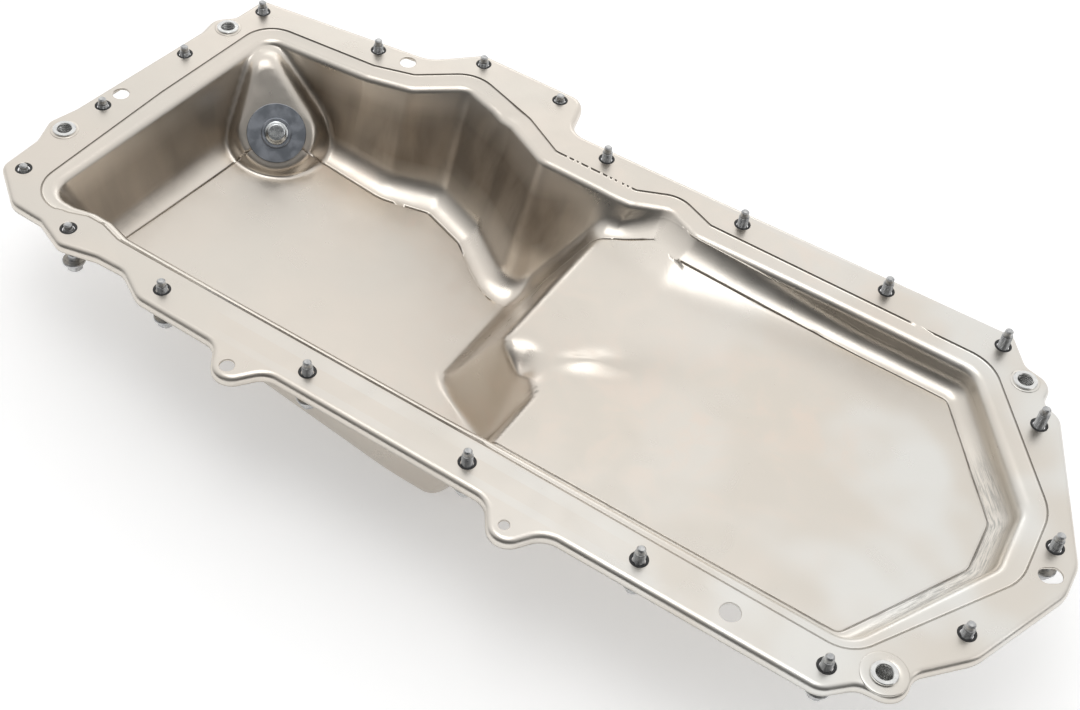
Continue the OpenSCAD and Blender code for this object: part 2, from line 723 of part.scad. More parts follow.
// Soft washer between the plug's flange and the pad
module drain_seal() {
    from_datum() color([0.70, 0.45, 0.30]) on_drain() translate([0, 0, -sheet_t - seal_t]) difference() {
        cylinder(d = plug_flange_d, h = seal_t, $fn = round_fn);
        translate([0, 0, -1]) cylinder(d = drain_d + 2 * thread_gap, h = seal_t + 2, $fn = round_fn);
    }
}

pan_shell();
screw_retainers();
drain_nut();
drain_plug();
drain_seal();
for (i = insert_ids) {
    insert(i);
}
for (i = screw_ids) {
    screw(i);
}
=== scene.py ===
# %% [markdown]
# Engine oil pan
#
# An oil pan is one thin steel sheet, pressed in steps until it holds a deep sump and a shallow shelf.
# Its looks come from three things: the long soft fillets that the press leaves, the bare metal that
# mirrors the studio in bands, and the small hardware that stands in its flange. The exact frame of the
# pan, with every hole and every screw, is loaded first, so each piece below has a place to go to.

import math

import bmesh
import bpy
import numpy as np
from mathutils import Matrix, Vector, geometry


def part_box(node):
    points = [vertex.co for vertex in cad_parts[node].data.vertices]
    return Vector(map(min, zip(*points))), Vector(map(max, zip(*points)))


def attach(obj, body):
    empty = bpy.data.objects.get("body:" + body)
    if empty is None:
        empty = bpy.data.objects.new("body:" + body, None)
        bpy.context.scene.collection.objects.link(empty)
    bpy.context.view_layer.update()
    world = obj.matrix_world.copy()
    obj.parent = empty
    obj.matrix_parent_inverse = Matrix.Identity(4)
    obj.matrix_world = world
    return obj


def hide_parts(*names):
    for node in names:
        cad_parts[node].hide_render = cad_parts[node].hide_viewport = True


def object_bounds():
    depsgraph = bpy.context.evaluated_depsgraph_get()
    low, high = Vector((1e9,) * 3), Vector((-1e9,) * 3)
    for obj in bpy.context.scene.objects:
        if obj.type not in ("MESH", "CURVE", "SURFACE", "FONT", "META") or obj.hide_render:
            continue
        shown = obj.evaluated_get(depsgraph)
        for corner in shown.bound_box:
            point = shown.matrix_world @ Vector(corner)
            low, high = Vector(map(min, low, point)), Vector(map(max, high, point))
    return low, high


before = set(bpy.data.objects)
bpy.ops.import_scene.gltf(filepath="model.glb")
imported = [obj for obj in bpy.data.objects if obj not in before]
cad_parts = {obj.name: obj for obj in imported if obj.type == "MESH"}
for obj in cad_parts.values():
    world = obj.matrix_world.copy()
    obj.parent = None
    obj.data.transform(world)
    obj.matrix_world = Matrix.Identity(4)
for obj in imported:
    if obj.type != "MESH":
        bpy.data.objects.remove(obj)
cad_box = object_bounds()
MM = 0.001

# %% [markdown]
# The camera stands where the photographer stood: in front of the long straight wall, near the shallow
# end, looking down at a little over half a right angle. It is placed first, so that every later step
# can be judged in the same view. Its place is counted from the locating hole, as the frame's is.

# %% Camera
DATUM = np.array([-122.6, -100.0, 0.0])      # the locating hole, counted from the middle of the opening
CAMERA_AT = np.array([250.3, -493.0, 615.9])
CAMERA_PITCH = math.radians(48.083)
CAMERA_TURN = math.radians(26.914)
CAMERA_ROLL = math.radians(7.379)
LENS = 53.68


def from_datum(points):
    """Points counted from the middle of the opening, in millimetres, to the frame's metres."""
    return (np.asarray(points, float) - DATUM) * MM


camera_data = bpy.data.cameras.new("camera")
camera_data.lens = LENS
camera_data.sensor_width = 36.0
camera_data.clip_start = 0.01
camera = bpy.data.objects.new("camera", camera_data)
bpy.context.collection.objects.link(camera)
aim = Matrix.Rotation(CAMERA_TURN, 4, "Z") @ Matrix.Rotation(math.pi / 2 - CAMERA_PITCH, 4, "X")
camera.matrix_world = Matrix.Translation(from_datum(CAMERA_AT)) @ aim @ Matrix.Rotation(CAMERA_ROLL, 4, "Z")
bpy.context.scene.camera = camera
print("camera at", [round(v, 3) for v in camera.location])

# %% [markdown]
# The sheet is drawn from the frame's outlines with finer steps. Two corners at its foot, the step and
# the skirt of the drain pad differ a little from the frame's. Each corner of the opening has a row:
# its place and radius, how many steps its arc and the edge after it take, how far the foot of the wall
# lies from it, the foot's radius, the width of the coined band, the extra radius of the bend and the
# length of the fillet at the foot.

# %% Sizes of the sheet
SHEET = 1.5
BEND_R = 5.0
BAND_DROP = 0.6
LIP_H = 6.0
LIP_R = 3.5
NEAR = -60.5
FAR = 128.8
LEFT = -281.0
RIGHT = 247.0
BULGE = 156.0
SHELF_DEPTH = 18.0
SUMP_DEPTH = 50.0
SUMP_FALL = math.tan(math.radians(8.9))
SUMP_LOWEST = 82.0
STEP_NEAR_X = 4.0
STEP_FAR_X = -30.0
STEP_NEAR_SLOPE = math.tan(math.radians(67.0))
STEP_FAR_SLOPE = math.tan(math.radians(60.0))
STEP_BEND_Y = 3.0
NEAR_EDGE = NEAR - 32.5
FAR_EDGE = FAR + 33.0
LEFT_EDGE = LEFT - 35.5
RIGHT_EDGE = RIGHT + 34.0
FINE = 4                                      # how many times finer than the frame's own steps

WALL_ROWS = [
    (LEFT, NEAR + 0.5, 12, 6, 2, 11, 18, 12, 9, 0, 9),
    (LEFT + 19, NEAR + 0.5, 6, 2, 1, 7, 17, 10, 7, 0, 10),
    (LEFT + 31, NEAR + 4, 10, 1, 1, 7, 11.5, 12, 6, 0, 10),
    (LEFT + 43, NEAR + 4, 10, 1, 1, 10, 8.5, 12, 6, 0, 11),
    (LEFT + 57, NEAR, 10, 2, 4, 14, 8.5, 20, 6, 0, 12),
    (-150, NEAR, 0, 0, 4, 0, 2.5, 0, 6, 0, 14),
    (STEP_NEAR_X - 84, NEAR, 0, 0, 12, 0, 2, 0, 6, 0, 14),
    (STEP_NEAR_X + 6, NEAR, 0, 0, 12, 0, 3, 0, 6, 0, 9),
    (RIGHT - 41, NEAR, 14, 4, 6, -2.5, 3.5, 14, 8, 1, 9),
    (RIGHT, 20, 16, 2, 1, -2.5, 0, 16, 13, 2, 9),
    (RIGHT - 2.5, 58.5, 16, 2, 3, -2.5, -1.5, 16, 13, 2, 9),
    (RIGHT - 56.5, FAR, 14, 4, 2, -2, -2.8, 14, 12, 1, 9),
    (100, FAR, 0, 0, 2, 0, -2.8, 0, 12, 0, 8.5),
    (22, FAR, 16, 2, 1, -2, -6, 12, 12, 0, 8),
    (0, FAR + 10.7, 9, 3, 1, 0, -10, 9, 11, 0, 7),
    (-20, FAR - 0.8, 16, 2, 8, -4, -7, 12, 12, 0, 8),
    (-80, FAR - 0.8, 18, 2, 2, 2, -36, 18, 12, 0, 13),
    (-110, BULGE - 13, 16, 2, 2, -3, -27, 16, 13, 0, 13),
    (-150, BULGE, 10, 2, 2, 4, -32, 14, 13, 0, 13),
    (-176, BULGE - 22, 16, 2, 1, 0, -22, 16, 13, 0, 13),
    (-204, FAR - 2.8, 20, 2, 5, -2, -15, 20, 12, 0, 13),
    (LEFT + 9, FAR - 9.3, 9, 6, 7, 10, -12.5, 16, 12, 0, 11),
    (LEFT + 4.6, 40, 0, 0, 5, 10.3, 0, 0, 12, 0, 11),
]
LONG_STEPS = 48 * FINE
END_STEPS = 18 * FINE
STEP_LINES = (26 * FINE, 34 * FINE)
STEP_FADE = 8 * FINE

FLANGE_ROWS = [
    (LEFT_EDGE + 1.5, NEAR_EDGE + 33, 8),
    (LEFT - 8, NEAR_EDGE + 14, 14),
    (LEFT + 13, NEAR_EDGE + 13.5, 10),
    (LEFT + 33, NEAR_EDGE + 5.5, 10),
    (LEFT + 55, NEAR_EDGE + 11, 15),
    (LEFT + 73, NEAR_EDGE + 11.5, 12),
    (-190, NEAR_EDGE + 1.2, 15),
    (-138, NEAR_EDGE + 0.5, 10),
    (-122, NEAR_EDGE - 23, 11),
    (-104, NEAR_EDGE + 0.5, 12),
    (28, NEAR_EDGE, 12),
    (45, NEAR_EDGE - 24, 11),
    (62, NEAR_EDGE, 14),
    (RIGHT - 41, NEAR_EDGE, 12),
    (RIGHT - 28, NEAR_EDGE + 13, 10),
    (RIGHT - 7, NEAR_EDGE + 15, 11),
    (RIGHT - 9, NEAR_EDGE + 33, 10),
    (RIGHT + 12, NEAR_EDGE + 57, 25),
    (RIGHT_EDGE, 22, 20),
    (RIGHT_EDGE - 1, 42, 20),
    (RIGHT - 7, FAR_EDGE - 35.8, 10),
    (RIGHT - 18, FAR_EDGE - 30.8, 6),
    (RIGHT - 19, FAR_EDGE - 15.8, 10),
    (RIGHT - 35.2, FAR_EDGE - 12.1, 8),
    (RIGHT - 48.7, FAR_EDGE + 4.9, 6),
    (-80, FAR_EDGE - 1.3, 12),
    (-88, BULGE + 33.5, 11),
    (-160.3, BULGE + 32.8, 4.5),
    (-184, FAR_EDGE + 2.5, 20),
    (LEFT - 18.3, FAR_EDGE - 14.4, 4.5),
    (LEFT - 20.3, FAR_EDGE - 38.8, 6),
    (LEFT - 29.2, FAR_EDGE - 48.8, 10),
    (LEFT - 26.9, FAR_EDGE - 62.8, 8),
    (LEFT_EDGE - 0.3, 0, 10),
    (LEFT_EDGE - 4.5, -17, 7),
    (LEFT_EDGE + 1.5, -33, 8),
]
print("opening corners", len(WALL_ROWS), "flange corners", len(FLANGE_ROWS))

# %% [markdown]
# Rounded outlines are made the way a draughtsman makes them: straight lines with an arc in each
# corner. The arc is worked out in any plane, so the same helper also makes the bend at the top of the
# wall and the fillet at its foot.

# %% Outline helpers


def unit(v):
    v = np.asarray(v, float)
    return v / np.linalg.norm(v, axis=-1, keepdims=True)


def ease(x):
    t = np.clip(x, 0.0, 1.0)
    return t * t * (3 - 2 * t)


def soft_max(a, b, k):
    h = np.maximum(0.0, k - np.abs(a - b)) / k
    return np.maximum(a, b) + h * h * k / 4


def soft_min(a, b, k):
    return -soft_max(-a, -b, k)


def dome(u, v):
    return np.exp(-(u * u + v * v) / 2)


def corner_arc(p, q, s, r, n):
    """Arc of radius r that rounds the corner q between p and s, in n steps."""
    if n == 0:
        return [np.asarray(q, float)]
    a, b = unit(p - q), unit(s - q)
    half = math.acos(float(np.clip(a @ b, -1, 1))) / 2
    c = q + unit(a + b) * r / math.sin(half)
    u = q + a * r / math.tan(half) - c
    w = q + b * r / math.tan(half) - c
    sweep = math.pi - 2 * half
    steps = np.linspace(0, 1, n + 1)
    return [c + (u * math.sin((1 - t) * sweep) + w * math.sin(t * sweep)) / math.sin(sweep) for t in steps]


def rounded(corners, radii, arcs, edges):
    """Closed outline of straight edges and arcs, with so many steps in each."""
    n = len(corners)
    corners = [np.asarray(c, float) for c in corners]
    bends = [corner_arc(corners[i - 1], corners[i], corners[(i + 1) % n], radii[i], arcs[i]) for i in range(n)]
    points = []
    for i in range(n):
        a, b = bends[i][-1], bends[(i + 1) % n][0]
        points += bends[i]
        points += [a + (b - a) * k / edges[i] for k in range(1, edges[i])]
    return np.array(points)


def carried(values, arcs, edges):
    """One value at each corner, carried along the same outline."""
    out = []
    for i, a in enumerate(values):
        b = values[(i + 1) % len(values)]
        out += [a] * (arcs[i] + 1)
        out += [a + (b - a) * k / edges[i] for k in range(1, edges[i])]
    return np.array(out, float)


def inward(ring):
    """Unit vectors that point into a closed counter-clockwise outline."""
    d = np.roll(ring, -1, axis=0)[:, :2] - np.roll(ring, 1, axis=0)[:, :2]
    return unit(np.stack([-d[:, 1], d[:, 0]], axis=1))


# %% [markdown]
# The floor is a height over the plan. The sloping sump floor, the step and the flat shelf are three
# simple surfaces, and a soft maximum or minimum joins two of them with a fillet, as the press does.
# The lowest part of the sump is level, which keeps the pan inside the frame's box. Small forms, such
# as the pocket in the step, are added on top.

# %% Height of the floor
FACET_START = np.array([18.5, FAR - 30.3])
FACET_END = np.array([100.0, FAR - 11.8])
FACET_CORNER = np.array([0.0, FAR - 21.8])
FACET_SLOPE = 0.43


def step_share(y):
    return ease((y - STEP_BEND_Y) / 30 + 0.5)


def step_edge(y):
    return STEP_NEAR_X + (STEP_FAR_X - STEP_NEAR_X) * step_share(y)


def beyond(x, y, a, b):
    d = unit(b - a)
    return (y - a[1]) * d[0] - (x - a[0]) * d[1]


def facet_rise(x, y):
    d = np.minimum(beyond(x, y, FACET_START, FACET_END), beyond(x, y, FACET_CORNER, FACET_START))
    return soft_max(0.0, d * FACET_SLOPE, 3.0)


def pocket(x, y):
    return 9 * dome((x - STEP_FAR_X - 16) / 7, (y - 4) / 7)


def ridge(x, y):
    u = (x - STEP_NEAR_X - 16) * 0.85 + (y - 27) * 0.53
    v = (y - 27) * 0.85 - (x - STEP_NEAR_X - 16) * 0.53
    return 3 * dome(u / 13, v / 4.5)


def floor_z(x, y):
    share = step_share(y)
    shelf = -SHELF_DEPTH + facet_rise(x, y) + ridge(x, y)
    slope = -SHELF_DEPTH + (STEP_NEAR_SLOPE + (STEP_FAR_SLOPE - STEP_NEAR_SLOPE) * share) * (x - step_edge(y))
    top = soft_min(slope, shelf, 8.0)
    sump = soft_max(-SUMP_LOWEST, -SUMP_DEPTH - SUMP_FALL * (x - LEFT - 23), 2.0)
    return soft_max(top, sump, 18 + (14 - 18) * share) - pocket(x, y)


def floor_point(xy):
    return np.concatenate([xy, floor_z(xy[:, 0], xy[:, 1])[:, None]], axis=1)


def floor_slope(xy, e=0.5):
    x, y = xy[:, 0], xy[:, 1]
    return np.stack([
        (floor_z(x + e, y) - floor_z(x - e, y)) / (2 * e),
        (floor_z(x, y + e) - floor_z(x, y - e)) / (2 * e)], axis=1)


def floor_normal(xy):
    g = floor_slope(xy)
    return unit(np.stack([-g[:, 0], -g[:, 1], np.ones(len(g))], axis=1))


# %% [markdown]
# The drain pad is a flat teardrop that faces into the sump. Points of the sheet are pushed out along
# the pad's own direction until they lie on it, and its edge falls away in a skirt. Both faces of the
# sheet are pushed, the outer one a sheet's thickness less, so the pad has the sheet's true section.

# %% Drain pad and dents
PAD_R = 24.0
PAD_EDGE = 7.0
PAD_C = np.array([LEFT + 43, FAR - 46.8, -33.0])
PAD_N = unit([0.47, -0.56, 0.68])
PAD_TIP_AT = np.array([LEFT + 14, FAR - 20.8, -8.0]) - PAD_C
PAD_TIP = unit(PAD_TIP_AT - PAD_N * (PAD_TIP_AT @ PAD_N))
PAD_TIP_LEN = 38.0
PAD_TIP_R = 8.0
PAD_SKIRT = math.radians(66)
PAD_FOOT = 6.0
BUMP_AT = np.array([-143, BULGE - 23, -15])
BUMP_N = unit([0.25, -0.9, 0.35])
DIMPLE_AT = np.array([-122, BULGE - 11, 0])


def pad_outline(p):
    along = p @ PAD_TIP
    across = np.sqrt(np.maximum(0, (p * p).sum(axis=1) - along * along))
    b = (PAD_R - PAD_TIP_R) / PAD_TIP_LEN
    a = math.sqrt(1 - b * b)
    k = along * a - across * b
    round_part = np.linalg.norm(p, axis=1) - PAD_R
    tip_part = np.hypot(across, along - PAD_TIP_LEN) - PAD_TIP_R
    return np.where(k < 0, round_part, np.where(k > a * PAD_TIP_LEN, tip_part, across * a + along * b - PAD_R))


def on_pad(p, under):
    d = p - PAD_C
    a = d @ PAD_N
    out = pad_outline(d - a[:, None] * PAD_N) + under * math.tan(PAD_SKIRT / 2)
    pad = -under - soft_max(0.0, math.tan(PAD_SKIRT) * out, PAD_EDGE)
    return p + (soft_max(a, pad, PAD_FOOT) - a)[:, None] * PAD_N


def dented(p):
    b, m = p - BUMP_AT, p - DIMPLE_AT
    bump = 4 * dome(np.hypot(b[:, 0], b[:, 1]) / 6, b[:, 2] / 10)
    dimple = 1.5 * dome((m[:, 0] - m[:, 1] * 0.6) / 5, m[:, 1] / 7)
    return p + bump[:, None] * BUMP_N - dimple[:, None] * np.array([0, 0, 1.0])


# %% [markdown]
# The wall is a row of ribs. Each rib starts on the coined band, goes over the bend, down the wall and
# round the fillet to the floor, and the next rib does the same a step further on. The floor is a grid
# between the feet of the ribs, with its lines drawn along the step. A few of its cells still fold a
# little, before the step and where the far valley ends.

# %% Ribs and grid
BEND_STEPS = 8
WALL_STEPS = 7
FOOT_STEPS = 10
arcs = [r[3] * FINE for r in WALL_ROWS]
edges = [r[4] * FINE for r in WALL_ROWS]
first = arcs[0] // 2


def wall_value(k):
    return np.roll(carried([r[k] for r in WALL_ROWS], arcs, edges), -first)


opening = np.roll(rounded([r[:2] for r in WALL_ROWS], [r[2] for r in WALL_ROWS], arcs, edges), -first, axis=0)
foot = np.roll(rounded(
    [(r[0] + r[5], r[1] + r[6]) for r in WALL_ROWS], [r[7] for r in WALL_ROWS], arcs, edges), -first, axis=0)
band_w, bend_more, foot_len = wall_value(8), wall_value(9), wall_value(10)
into_opening = inward(opening)
floor_edge = foot + inward(foot) * foot_len[:, None]
band_edge = opening - into_opening * band_w[:, None]
RIBS = len(opening)


def make_ribs():
    """Undented points of every rib, as an array of ribs by steps by three."""
    edge3 = floor_point(floor_edge)
    low_z = edge3[:, 2] + (floor_slope(floor_edge) * (foot - floor_edge)).sum(axis=1)
    out = []
    for i in range(RIBS):
        q = np.append(into_opening[i], 0.0)
        top = np.append(opening[i], -BAND_DROP)
        low = np.append(foot[i], low_z[i])
        half = math.acos(float(unit(top - low) @ unit(edge3[i] - low))) / 2
        foot_r = np.linalg.norm(edge3[i] - low) * math.tan(half)
        bend = corner_arc(top - q, top, low, BEND_R + bend_more[i], BEND_STEPS)
        fillet = corner_arc(top, low, edge3[i], foot_r, FOOT_STEPS)
        wall = [bend[-1] + (fillet[0] - bend[-1]) * k / WALL_STEPS for k in range(1, WALL_STEPS)]
        start = np.append(band_edge[i], 0.0)
        out.append([start, start + q * BAND_DROP * 3 - [0, 0, BAND_DROP]] + bend + wall + fillet)
    return np.array(out)


def crowd(y):
    return np.where(np.abs(y - STEP_BEND_Y) > 40, 0.0, 7 * np.sin(np.radians((y - STEP_BEND_Y) * 4.5)))


def make_grid():
    """Plan places of the inner grid points, as an array of lines by places by two."""
    s = (np.arange(1, LONG_STEPS) / LONG_STEPS)[:, None, None]
    t = (np.arange(1, END_STEPS) / END_STEPS)[None, :, None]
    c1, c2, c3 = LONG_STEPS, LONG_STEPS + END_STEPS, 2 * LONG_STEPS + END_STEPS
    near = floor_edge[1:c1][:, None, :]
    far = floor_edge[c2 + 1:c3][::-1][:, None, :]
    left = floor_edge[c3 + 1:][::-1][None, :, :]
    right = floor_edge[c1 + 1:c2][None, :, :]
    q = near * (1 - t) + far * t + left * (1 - s) + right * s
    q = q - floor_edge[0] * (1 - s) * (1 - t) - floor_edge[c1] * s * (1 - t)
    q = q - floor_edge[c2] * s * t - floor_edge[c3] * (1 - s) * t
    u = np.arange(1, LONG_STEPS)[:, None]
    w = ease(1 + (u - STEP_LINES[0]) / STEP_FADE) * ease(1 + (STEP_LINES[1] - u) / STEP_FADE)
    share = (q[..., 1] - near[..., 1]) / (far[..., 1] - near[..., 1])
    straight = STEP_NEAR_X + (STEP_FAR_X - STEP_NEAR_X) * share
    shift = np.stack([(step_edge(q[..., 1]) - straight) * w, -crowd(q[..., 1]) * w], axis=-1)
    return q + shift


ribs = make_ribs()
RIB_LEN = ribs.shape[1]
grid = make_grid()
print("ribs", RIBS, "steps", RIB_LEN, "grid", grid.shape[:2])

# %% [markdown]
# Now the two faces of the sheet are joined into one closed skin. The flat of the flange between the
# band and the lip is a plate with holes. Blender's tessellator fills an outline with holes in one
# call, which keeps the flat truly flat, and the hole walls get a small chamfer so that they catch light.

# %% Closed skin of the pan
HOLE_CHAMFER = 0.25
HOLE_STEPS = 48
LIP_STEPS = 7


def ring_of(hole, radius, steps=HOLE_STEPS):
    """Circle round a hole's centre, or a slot's outline when the hole has a travel and a turn."""
    (x, y), travel, turn = hole["at"], hole.get("travel", 0.0), math.radians(hole.get("turn", 0.0))
    a = np.linspace(0, 2 * math.pi, steps, endpoint=False)
    u = radius * np.cos(a) + np.sign(np.round(np.cos(a), 9)) * travel / 2
    v = radius * np.sin(a)
    return np.stack([x + u * math.cos(turn) - v * math.sin(turn), y + u * math.sin(turn) + v * math.cos(turn)], axis=1)


class Skin:
    """Collects points and faces, and turns them into a Blender object at the frame's place."""

    def __init__(self):
        self.points = []
        self.faces = []
        self.flat = []

    def add(self, points):
        start = len(self.points)
        self.points += [tuple(p) for p in points]
        return np.arange(start, start + len(points))

    def strip(self, a, b, closed=True, flat=False):
        """Quads between two rows of point numbers, facing left of a when b lies above it."""
        n = len(a)
        for i in range(n if closed else n - 1):
            j = (i + 1) % n
            self.faces.append((a[i], a[j], b[j], b[i]))
            self.flat.append(flat)

    def build(self, name):
        mesh = bpy.data.meshes.new(name)
        faces = [tuple(int(k) for k in f) for f in self.faces]
        mesh.from_pydata([tuple(p) for p in from_datum(self.points)], [], faces)
        mesh.polygons.foreach_set("use_smooth", [not f for f in self.flat])
        mesh.update()
        obj = bpy.data.objects.new(name, mesh)
        bpy.context.collection.objects.link(obj)
        return obj


def rib_normals(ribs):
    along = np.roll(ribs, -1, axis=0) - np.roll(ribs, 1, axis=0)
    down = np.zeros_like(ribs)
    down[:, 1:-1] = ribs[:, 2:] - ribs[:, :-2]
    down[:, 0] = ribs[:, 1] - ribs[:, 0]
    down[:, -1] = ribs[:, -1] - ribs[:, -2]
    n = unit(np.cross(along, down))
    n[:, 0] = (0, 0, 1)
    n[:, -1] = floor_normal(floor_edge)
    return n


def press_in(points, normals=None):
    if normals is None:
        return dented(on_pad(points, 0.0))
    return dented(on_pad(points - normals * SHEET, SHEET))


def face_numbers(skin, rib_points, grid_points):
    """Adds one face of the sheet and returns its rib numbers and its full floor grid of numbers."""
    ids = skin.add(rib_points.reshape(-1, 3)).reshape(rib_points.shape[:2])
    inner = skin.add(grid_points.reshape(-1, 3)).reshape(grid_points.shape[:2])
    c1, c2, c3 = LONG_STEPS, LONG_STEPS + END_STEPS, 2 * LONG_STEPS + END_STEPS
    last = ids[:, -1]
    full = np.zeros((LONG_STEPS + 1, END_STEPS + 1), int)
    full[1:-1, 1:-1] = inner
    full[:, 0] = last[:c1 + 1]
    full[-1, :] = last[c1:c2 + 1]
    full[:, -1] = last[c2:c3 + 1][::-1]
    full[0, :] = np.append(last[c3:], last[0])[::-1]
    return ids, full


def make_bowl(skin):
    shape = grid.shape[:2]
    plan = grid.reshape(-1, 2)
    normals = rib_normals(ribs)
    tops = press_in(ribs.reshape(-1, 3)).reshape(ribs.shape)
    tops[:, 0] = ribs[:, 0]
    backs = press_in(ribs.reshape(-1, 3), normals.reshape(-1, 3)).reshape(ribs.shape)
    backs[:, 0] = ribs[:, 0] - [0, 0, SHEET]
    floor_tops = press_in(floor_point(plan)).reshape(shape + (3,))
    floor_backs = press_in(floor_point(plan), floor_normal(plan)).reshape(shape + (3,))
    for points, floor, outside in ((tops, floor_tops, False), (backs, floor_backs, True)):
        ids, full = face_numbers(skin, points, floor)
        for j in range(RIB_LEN - 1):
            a, b = ids[:, j], ids[:, j + 1]
            skin.strip(*((a, b) if outside else (b, a)))
        for v in range(END_STEPS):
            a, b = full[:, v], full[:, v + 1]
            skin.strip(*((b, a) if outside else (a, b)), closed=False)


def lip_profile():
    """How far in from the edge and how high each point of the lip's section lies, top face first."""
    back_r = LIP_R - SHEET
    turn = np.radians(np.linspace(0, 90, LIP_STEPS + 1))
    outer = [(LIP_R * (1 - math.sin(a)), LIP_R * (math.cos(a) - 1)) for a in turn]
    inner = [(LIP_R - back_r * math.cos(a), back_r * math.sin(a) - LIP_R) for a in turn]
    round_end = [(0.0, -LIP_H + 0.3), (0.3, -LIP_H), (SHEET - 0.3, -LIP_H), (SHEET, -LIP_H + 0.3)]
    return outer + round_end + inner


def turn_steps(rows, i):
    n = len(rows)
    a = unit(np.subtract(rows[i][:2], rows[i - 1][:2]))
    b = unit(np.subtract(rows[(i + 1) % n][:2], rows[i][:2]))
    return max(3, math.ceil(math.degrees(math.acos(float(min(1, a @ b)))) / 6))


outer_edge = rounded(
    [r[:2] for r in FLANGE_ROWS], [r[2] for r in FLANGE_ROWS],
    [turn_steps(FLANGE_ROWS, i) for i in range(len(FLANGE_ROWS))], [1] * len(FLANGE_ROWS))
plate_edge = outer_edge + inward(outer_edge) * LIP_R


def make_lip(skin):
    into = inward(outer_edge)
    rows = []
    for inset, z in lip_profile():
        ring = outer_edge + into * inset
        rows.append(skin.add(np.concatenate([ring, np.full((len(ring), 1), z)], axis=1)))
    for a, b in zip(rows, rows[1:]):
        skin.strip(b, a)


def rows_at(skin, hole, profile):
    """One row of points for each radius and height of a profile round a hole."""
    rows = []
    for radius, z in profile:
        ring = ring_of(hole, radius)
        rows.append(skin.add(np.concatenate([ring, np.full((len(ring), 1), z)], axis=1)))
    return rows


def make_plate(skin, holes):
    """Top and bottom of the flat, the chamfered wall of every hole and the raised rings."""
    outlines = [plate_edge, band_edge] + [ring_of(h, h["r"] + HOLE_CHAMFER) for h in holes]
    triangles = geometry.tessellate_polygon([[Vector((p[0], p[1], 0.0)) for p in o] for o in outlines])
    flat = np.concatenate(outlines)
    for z, top in ((0.0, True), (-SHEET, False)):
        ids = skin.add(np.concatenate([flat, np.full((len(flat), 1), z)], axis=1))
        for t in triangles:
            a, b, c = (flat[k] for k in t)
            left = (b[0] - a[0]) * (c[1] - a[1]) - (b[1] - a[1]) * (c[0] - a[0]) > 0
            skin.faces.append(tuple(ids[k] for k in (t if left == top else t[::-1])))
            skin.flat.append(True)
    for hole in holes:
        r = hole["r"]
        wide = r + HOLE_CHAMFER
        rows = rows_at(skin, hole, [(wide, 0), (r, -HOLE_CHAMFER), (r, HOLE_CHAMFER - SHEET), (wide, -SHEET)])
        for a, b in zip(rows, rows[1:]):
            skin.strip(a, b)
        if hole.get("ring"):
            out = hole["ring"]
            rows = rows_at(skin, hole, [(out, -SHEET / 2), (out, 0.1), (out - 0.35, RING_H * 0.7), (out - 0.8, RING_H),
                                        (r + 0.3, RING_H), (r + 0.05, RING_H - 0.25), (r + 0.05, -SHEET / 2)])
            for a, b in zip(rows, rows[1:] + rows[:1]):
                skin.strip(a, b)


def middle(node):
    low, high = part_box(node)
    return (np.array(low) + np.array(high)) / 2 / MM + DATUM


screw_names = sorted(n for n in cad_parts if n.startswith("screw_") and n[6:].isdigit())
insert_names = sorted(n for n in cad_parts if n.startswith("insert_"))
SCREW_HOLE_R = 4.6
INSERT_HOLE_R = 5.5
INSERT_RING_R = 8.0
CORNER_RING_R = 11.5
RING_H = 0.4
PLAIN_HOLES = [
    dict(at=(-122.6, NEAR_EDGE - 7), r=3.9),
    dict(at=(43.5, NEAR_EDGE - 7), r=2.75),
    dict(at=(LEFT - 24, 25), r=4.75),
    dict(at=(-192, FAR + 23.7), r=4.9),
    dict(at=(154, NEAR - 19.5), r=5.15),
    dict(at=(RIGHT + 23, 28), r=4.5, travel=3.4, turn=35),
]
holes = [dict(at=middle(n)[:2], r=SCREW_HOLE_R) for n in screw_names]
holes += [dict(at=middle(n)[:2], r=INSERT_HOLE_R, ring=CORNER_RING_R if n == "insert_4" else INSERT_RING_R)
          for n in insert_names]
holes += PLAIN_HOLES

PERIMETER_STEP = np.concatenate([[0.0], np.cumsum(np.linalg.norm(np.roll(opening, -1, axis=0) - opening, axis=1))])


# %% [markdown]
# The bare sheet has marks that follow the wall: thin lines of painted shade at the creases where the fillet
# starts and ends, a rubbed band between them, and a soft painted shade beside it on the floor. To draw them,
# each corner of each face keeps how far round the opening it lies and how far from the foot, as a UV
# map. A UV may jump where the ring of ribs closes, which a value on a point can't.

# %% Press coordinates


def nearest_distance(points, line):
    """Distance from each plan point to a closed outline."""
    best = np.full(len(points), 1e9)
    for a, b in zip(line, np.roll(line, -1, axis=0)):
        ab = b - a
        s = np.clip(((points - a) @ ab) / (ab @ ab), 0, 1)
        best = np.minimum(best, np.linalg.norm(a + s[:, None] * ab - points, axis=1))
    return best


rib_run = np.concatenate(
    [np.zeros((RIBS, 1)), np.cumsum(np.linalg.norm(np.diff(ribs, axis=1), axis=2), axis=1)], axis=1)
FILLET_TOP = RIB_LEN - 1 - FOOT_STEPS
foot_mm = rib_run - rib_run[:, -1:]
top_mm = rib_run - rib_run[:, FILLET_TOP:FILLET_TOP + 1]
grid_mm = nearest_distance(grid.reshape(-1, 2), floor_edge[::4]).reshape(grid.shape[:2])


